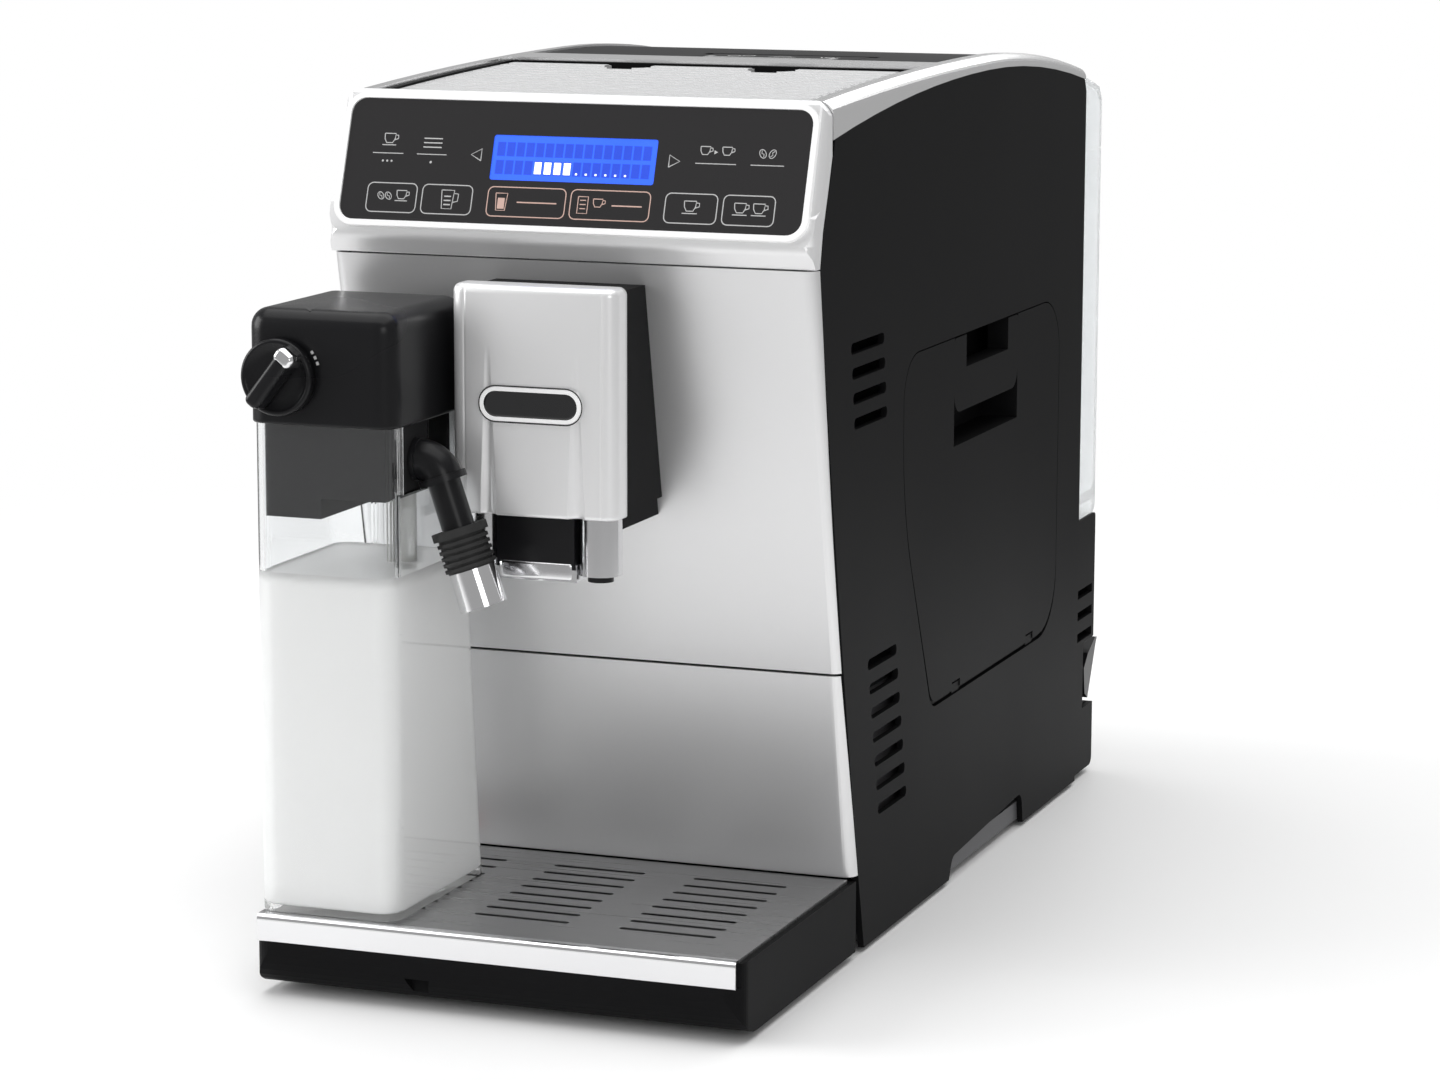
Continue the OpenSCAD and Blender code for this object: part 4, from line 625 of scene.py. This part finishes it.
def badge_face():
    """Dark face of the oval plate, slightly domed: ever smaller ovals, each a little further out."""
    levels = [(0, 0), (0.10, 0.4), (0.12, 1.2), (0.13, 2.4), (0.14, 3.6), (0.14, 4.4)]
    oval = stacked(37.2, 9.6, 4.75, levels, 12)
    face = np.stack([oval[..., 0], BADGE_SEAT - oval[..., 2], oval[..., 1] + BADGE_Z], -1)
    sheet("badge_face", face, "spout", gloss_black, True, (False, True))


def outlet_lip():
    """Rounded bright lip under the dark block between the outlets."""
    levels = [(158.3, 1.2), (158.6, 0.5), (159.2, 0.1), (160.0, 0.0), (164.0, 0.0), (164.8, 0.2),
              (165.1, 0.9)]
    lip = stacked(31.4, 13.4, 3.0, levels, 8) + [0, OUTLET_Y, 0]
    sheet("outlet_lip", lip, "spout", satin_chrome, True, (True, True))


def badge_outline():
    """Thin dark line round the oval plate, a little behind the foot of its face."""
    pts, faces = ribbon(rounded_ring(41.0, 13.4, 6.6, 12), 0.5, True)
    seat = np.column_stack([pts[:, 0], np.full(len(pts), BADGE_SEAT + 0.14), pts[:, 1] + BADGE_Z])
    mesh_piece("badge_outline", seat, faces, "spout", gloss_black, False)


def carafe_lid():
    """Lid of the carafe: rounded rectangles with a generous quarter-circle top edge, a slightly crowned top
    and an open notch at the back."""
    wall, corner, edge_radius = 2.2, 8.0, 7.0
    notch_x, notch_half, notch_top, notch_front = -68.0, 7.2, 242.0, -169.5
    levels = [(LID_LOW, 0.3), (LID_LOW + 0.5, 0.0)] + [(z, 0.0) for z in np.linspace(219, 252.5, 26)]
    levels += round_over(LID_TOP, edge_radius, 10)[1:]
    crown = [(0.1, 9.0), (0.25, 13.0), (0.35, 18.0), (0.4, 24.0), (0.42, 26.0)]
    levels += [(LID_TOP + rise, inset) for rise, inset in crown]
    rings = stacked(*LID_SIZE, corner, levels, 12) + LID_MIDDLE

    def notch(x, y, z):
        """True for a place inside the notch."""
        return y > notch_front and abs(x - notch_x) < notch_half and z < notch_top

    piece = sheet("carafe_lid_skin", rings, "lid", half_gloss_black, True, (False, True), wall, notch)
    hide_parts("carafe_lid")


def lid_arrow():
    """Arrow on the lid. In front of the place where the edge starts to round, its height falls with the
    square of the distance from there over twice the radius of the edge."""
    edge_radius, edge_start, lift = 7.0, -231.0, 0.24
    head = [(-76.0, -231.2), (-72.4, -234.4), (-71.9, -229.8)]
    shaft = [(-72.8, -231.6), (-72.2, -230.8), (-66.0, -222.4), (-66.6, -223.2)]
    p = np.array(head + shaft)
    z = LID_TOP + lift - np.maximum(0, edge_start - p[:, 1]) ** 2 / (2 * edge_radius)
    mesh_piece("lid_arrow", np.column_stack([p, z]), [[0, 1, 2], [3, 4, 5, 6]], "lid", gloss_black, False)


def froth_knob():
    """Knob: a turned profile of radius over depth, and a tapered wing with a bright tip across it."""
    profile = [(14.3, 0.0), (14.3, 3.2), (14.1, 4.0), (13.6, 4.5), (12.9, 4.6), (12.3, 4.3), (11.8, 3.9),
               (8.0, 3.7), (3.0, 3.7)]
    turn, round_points = math.radians(-38), 72
    c, q = math.cos(turn), math.sin(turn)
    t = np.linspace(0, 2 * math.pi, round_points, endpoint=False)
    disc = []
    for r, depth in profile:
        front = np.full(round_points, KNOB_SEAT - depth)
        disc.append(np.stack([KNOB_X + r * np.cos(t), front, KNOB_Z + r * np.sin(t)], 1))
    body = sheet("froth_knob_disc", disc, "knob", half_gloss_black, True, (True, True))
    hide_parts("froth_knob")

    def on_knob(p):
        """Turns a stack and lays it on the knob, its height pointing to the front."""
        x, z = p[..., 0] * c - p[..., 1] * q, p[..., 0] * q + p[..., 1] * c
        return np.stack([KNOB_X + x, KNOB_SEAT - p[..., 2], KNOB_Z + z], -1)

    wing_levels = [(3.4, 0.0), (6.0, 0.25), (9.4, 0.8), (10.6, 1.2), (11.2, 1.8), (11.4, 2.6)]
    tip_levels = [(4.0, -0.3), (9.4, 0.3), (11.2, 0.9), (11.5, 1.8)]
    wing = stacked(8.2, 27.0, 3.4, wing_levels, 9)
    tip = stacked(8.6, 6.4, 2.6, tip_levels, 8) + [0, 10.2, 0]
    sheet("froth_knob_wing", on_knob(wing), "knob", half_gloss_black, True, (True, True))
    sheet("froth_knob_tip", on_knob(tip), "knob", chrome, True, (True, True))


def knob_scale():
    """Three short marks on the lid round the knob, each between two radii and two angles."""
    inner, outer, half_angle, seat = 15.4, 16.5, 2.2, KNOB_SEAT + 0.04
    for k, angle in enumerate((20, 28, 36)):
        a, b = np.radians([angle - half_angle, angle + half_angle])
        corners = ((inner, a), (outer, a), (outer, b), (inner, b))
        mark = [[KNOB_X + r * math.cos(t), seat, KNOB_Z + r * math.sin(t)] for r, t in corners]
        mesh_piece("knob_scale_%d" % k, mark, [[0, 1, 2, 3]], "lid", grey_print_painted_glow, False)


def lid_prints():
    """Fine marks on the powder lid, lying on the arch: height falls with the square of the distance from the
    highest point. Two beans, a scoop and a cup, as closed or open strips."""
    t = np.linspace(0, 2 * math.pi, 16, endpoint=False)
    bean = np.stack([2.6 * np.cos(t), 1.9 * np.sin(t)], 1)
    scoop = [[10.0, 36.4], [12.5, 38.6], [15.5, 38.6], [18.0, 36.4]]
    scoop_line = [[8.0, 35.6], [20.0, 35.6]]
    bowl = [[30.0, 39.4], [31.4, 35.6], [36.6, 35.6], [38.0, 39.4]]
    paths = [(bean + [-7.5, 37.0], True), (bean + [-1.5, 38.6], True), (scoop, False), (scoop_line, False),
             (bowl, False), (bean * 0.7 + [34.0, 38.0], True)]
    for k, (path, closed) in enumerate(paths):
        pts, faces = ribbon(path, 0.8, closed)
        on_arch = np.column_stack([pts, POWDER_LID_TOP - (pts[:, 1] - ARCH_MIDDLE) ** 2 / ARCH_FALL])
        mesh_piece("powder_lid_mark_%d" % k, on_arch, faces, "powder_cover", grey_print_painted_glow, False)


spout_cover()
badge_face()
outlet_lip()
badge_outline()
carafe_lid()
lid_arrow()
froth_knob()
knob_scale()
lid_prints()


# ---------------------------------------------------------------- floor, light, camera
def backdrop():
    """Soft grey light all round, which the camera, also through clear plastic, sees as plain white."""
    world = bpy.data.worlds.new("studio")
    bpy.context.scene.world = world
    world.use_nodes = True
    t = world.node_tree
    t.nodes.clear()
    out = t.nodes.new("ShaderNodeOutputWorld")
    soft, white = t.nodes.new("ShaderNodeBackground"), t.nodes.new("ShaderNodeBackground")
    for node, strength in ((soft, 0.40), (white, 1.0)):
        node.inputs["Color"].default_value, node.inputs["Strength"].default_value = WHITE, strength
    mix, rays = t.nodes.new("ShaderNodeMixShader"), t.nodes.new("ShaderNodeLightPath")
    seen = math_node(t, "ADD", rays.outputs["Is Camera Ray"], rays.outputs["Is Transmission Ray"], True)
    link(t, seen, mix.inputs[0])
    link(t, soft.outputs[0], mix.inputs[1])
    link(t, white.outputs[0], mix.inputs[2])
    link(t, mix.outputs[0], out.inputs[0])


def pale_floor():
    """Square floor that fades out into the white around it."""
    half, points = 4.0, 60
    u = np.linspace(-1, 1, points) * half
    gx, gy = np.meshgrid(u, u)
    places = np.stack([gx, gy, np.zeros_like(gx)], -1).reshape(-1, 3)
    mesh = bpy.data.meshes.new("floor")
    mesh.from_pydata(places.tolist(), [], grid_faces(points, points))
    floor = bpy.data.objects.new("floor", mesh)
    bpy.context.scene.collection.objects.link(floor)
    pale = finish("pale floor", MOULDED, (0.95, 0.95, 0.95), fixed={"Specular IOR Level": 0.3},
                  Tint=0.01, Roughness=0.6, Smudge=0.05)
    fade = pale.node_tree.nodes.new("ShaderNodeGroup")
    fade.node_tree = node_group("floor edge", [], [("Mask", F)], build_fade)
    link(pale.node_tree, fade.outputs["Mask"], pale.node_tree.nodes["Principled BSDF"].inputs["Alpha"])
    mesh.materials.append(pale)


def lamp(name, at, to, size, power):
    """A square soft lamp at one place, in metres, that points to another."""
    light = bpy.data.lights.new(name, "AREA")
    light.energy, light.size = power, size
    holder = bpy.data.objects.new(name, light)
    bpy.context.scene.collection.objects.link(holder)
    holder.location = at
    holder.rotation_euler = (Vector(to) - Vector(at)).to_track_quat("-Z", "Y").to_euler()


def camera(at, azimuth, elevation, roll, focal, frame_width):
    """The camera, from its place in metres, its angles in degrees, and its focal length and frame width in
    pixels. Azimuth turns it about the upright axis, elevation tips it down and roll turns the frame."""
    lens = bpy.data.cameras.new("view")
    lens.sensor_width, lens.lens = 36.0, focal / frame_width * 36.0
    lens.clip_start, lens.clip_end = 0.05, 30
    holder = bpy.data.objects.new("view", lens)
    bpy.context.scene.collection.objects.link(holder)
    az, el, tilt = (math.radians(angle) for angle in (azimuth, elevation, roll))
    ahead = Vector((-math.sin(az) * math.cos(el), math.cos(az) * math.cos(el), -math.sin(el)))
    level = Vector((math.cos(az), math.sin(az), 0))
    upright = level.cross(ahead)
    right = level * math.cos(tilt) + upright * math.sin(tilt)
    up = -level * math.sin(tilt) + upright * math.cos(tilt)
    rows = [(r, u, -a, place) for r, u, a, place in zip(right, up, ahead, at)]
    holder.matrix_world = Matrix(rows + [(0, 0, 0, 1)])
    bpy.context.scene.camera = holder


backdrop()
pale_floor()
lamp("overhead", (0.0, -0.1, 1.9), (0, 0, 0.1), 2.4, 30.0)
lamp("left_front", (-2.1, -0.9, 0.8), (0, -0.1, 0.18), 1.5, 40.0)
lamp("right_front", (1.5, -2.2, 0.9), (0, 0, 0.15), 1.0, 9.0)
lamp("rear_rim", (0.2, 1.8, 1.5), (0, 0, 0.3), 1.4, 12.0)
camera(at=(0.594562, -1.606887, 0.440366), azimuth=20.293, elevation=9.902, roll=0.153, focal=4194.727,
       frame_width=1440)
bpy.context.scene.view_settings.view_transform = "Standard"
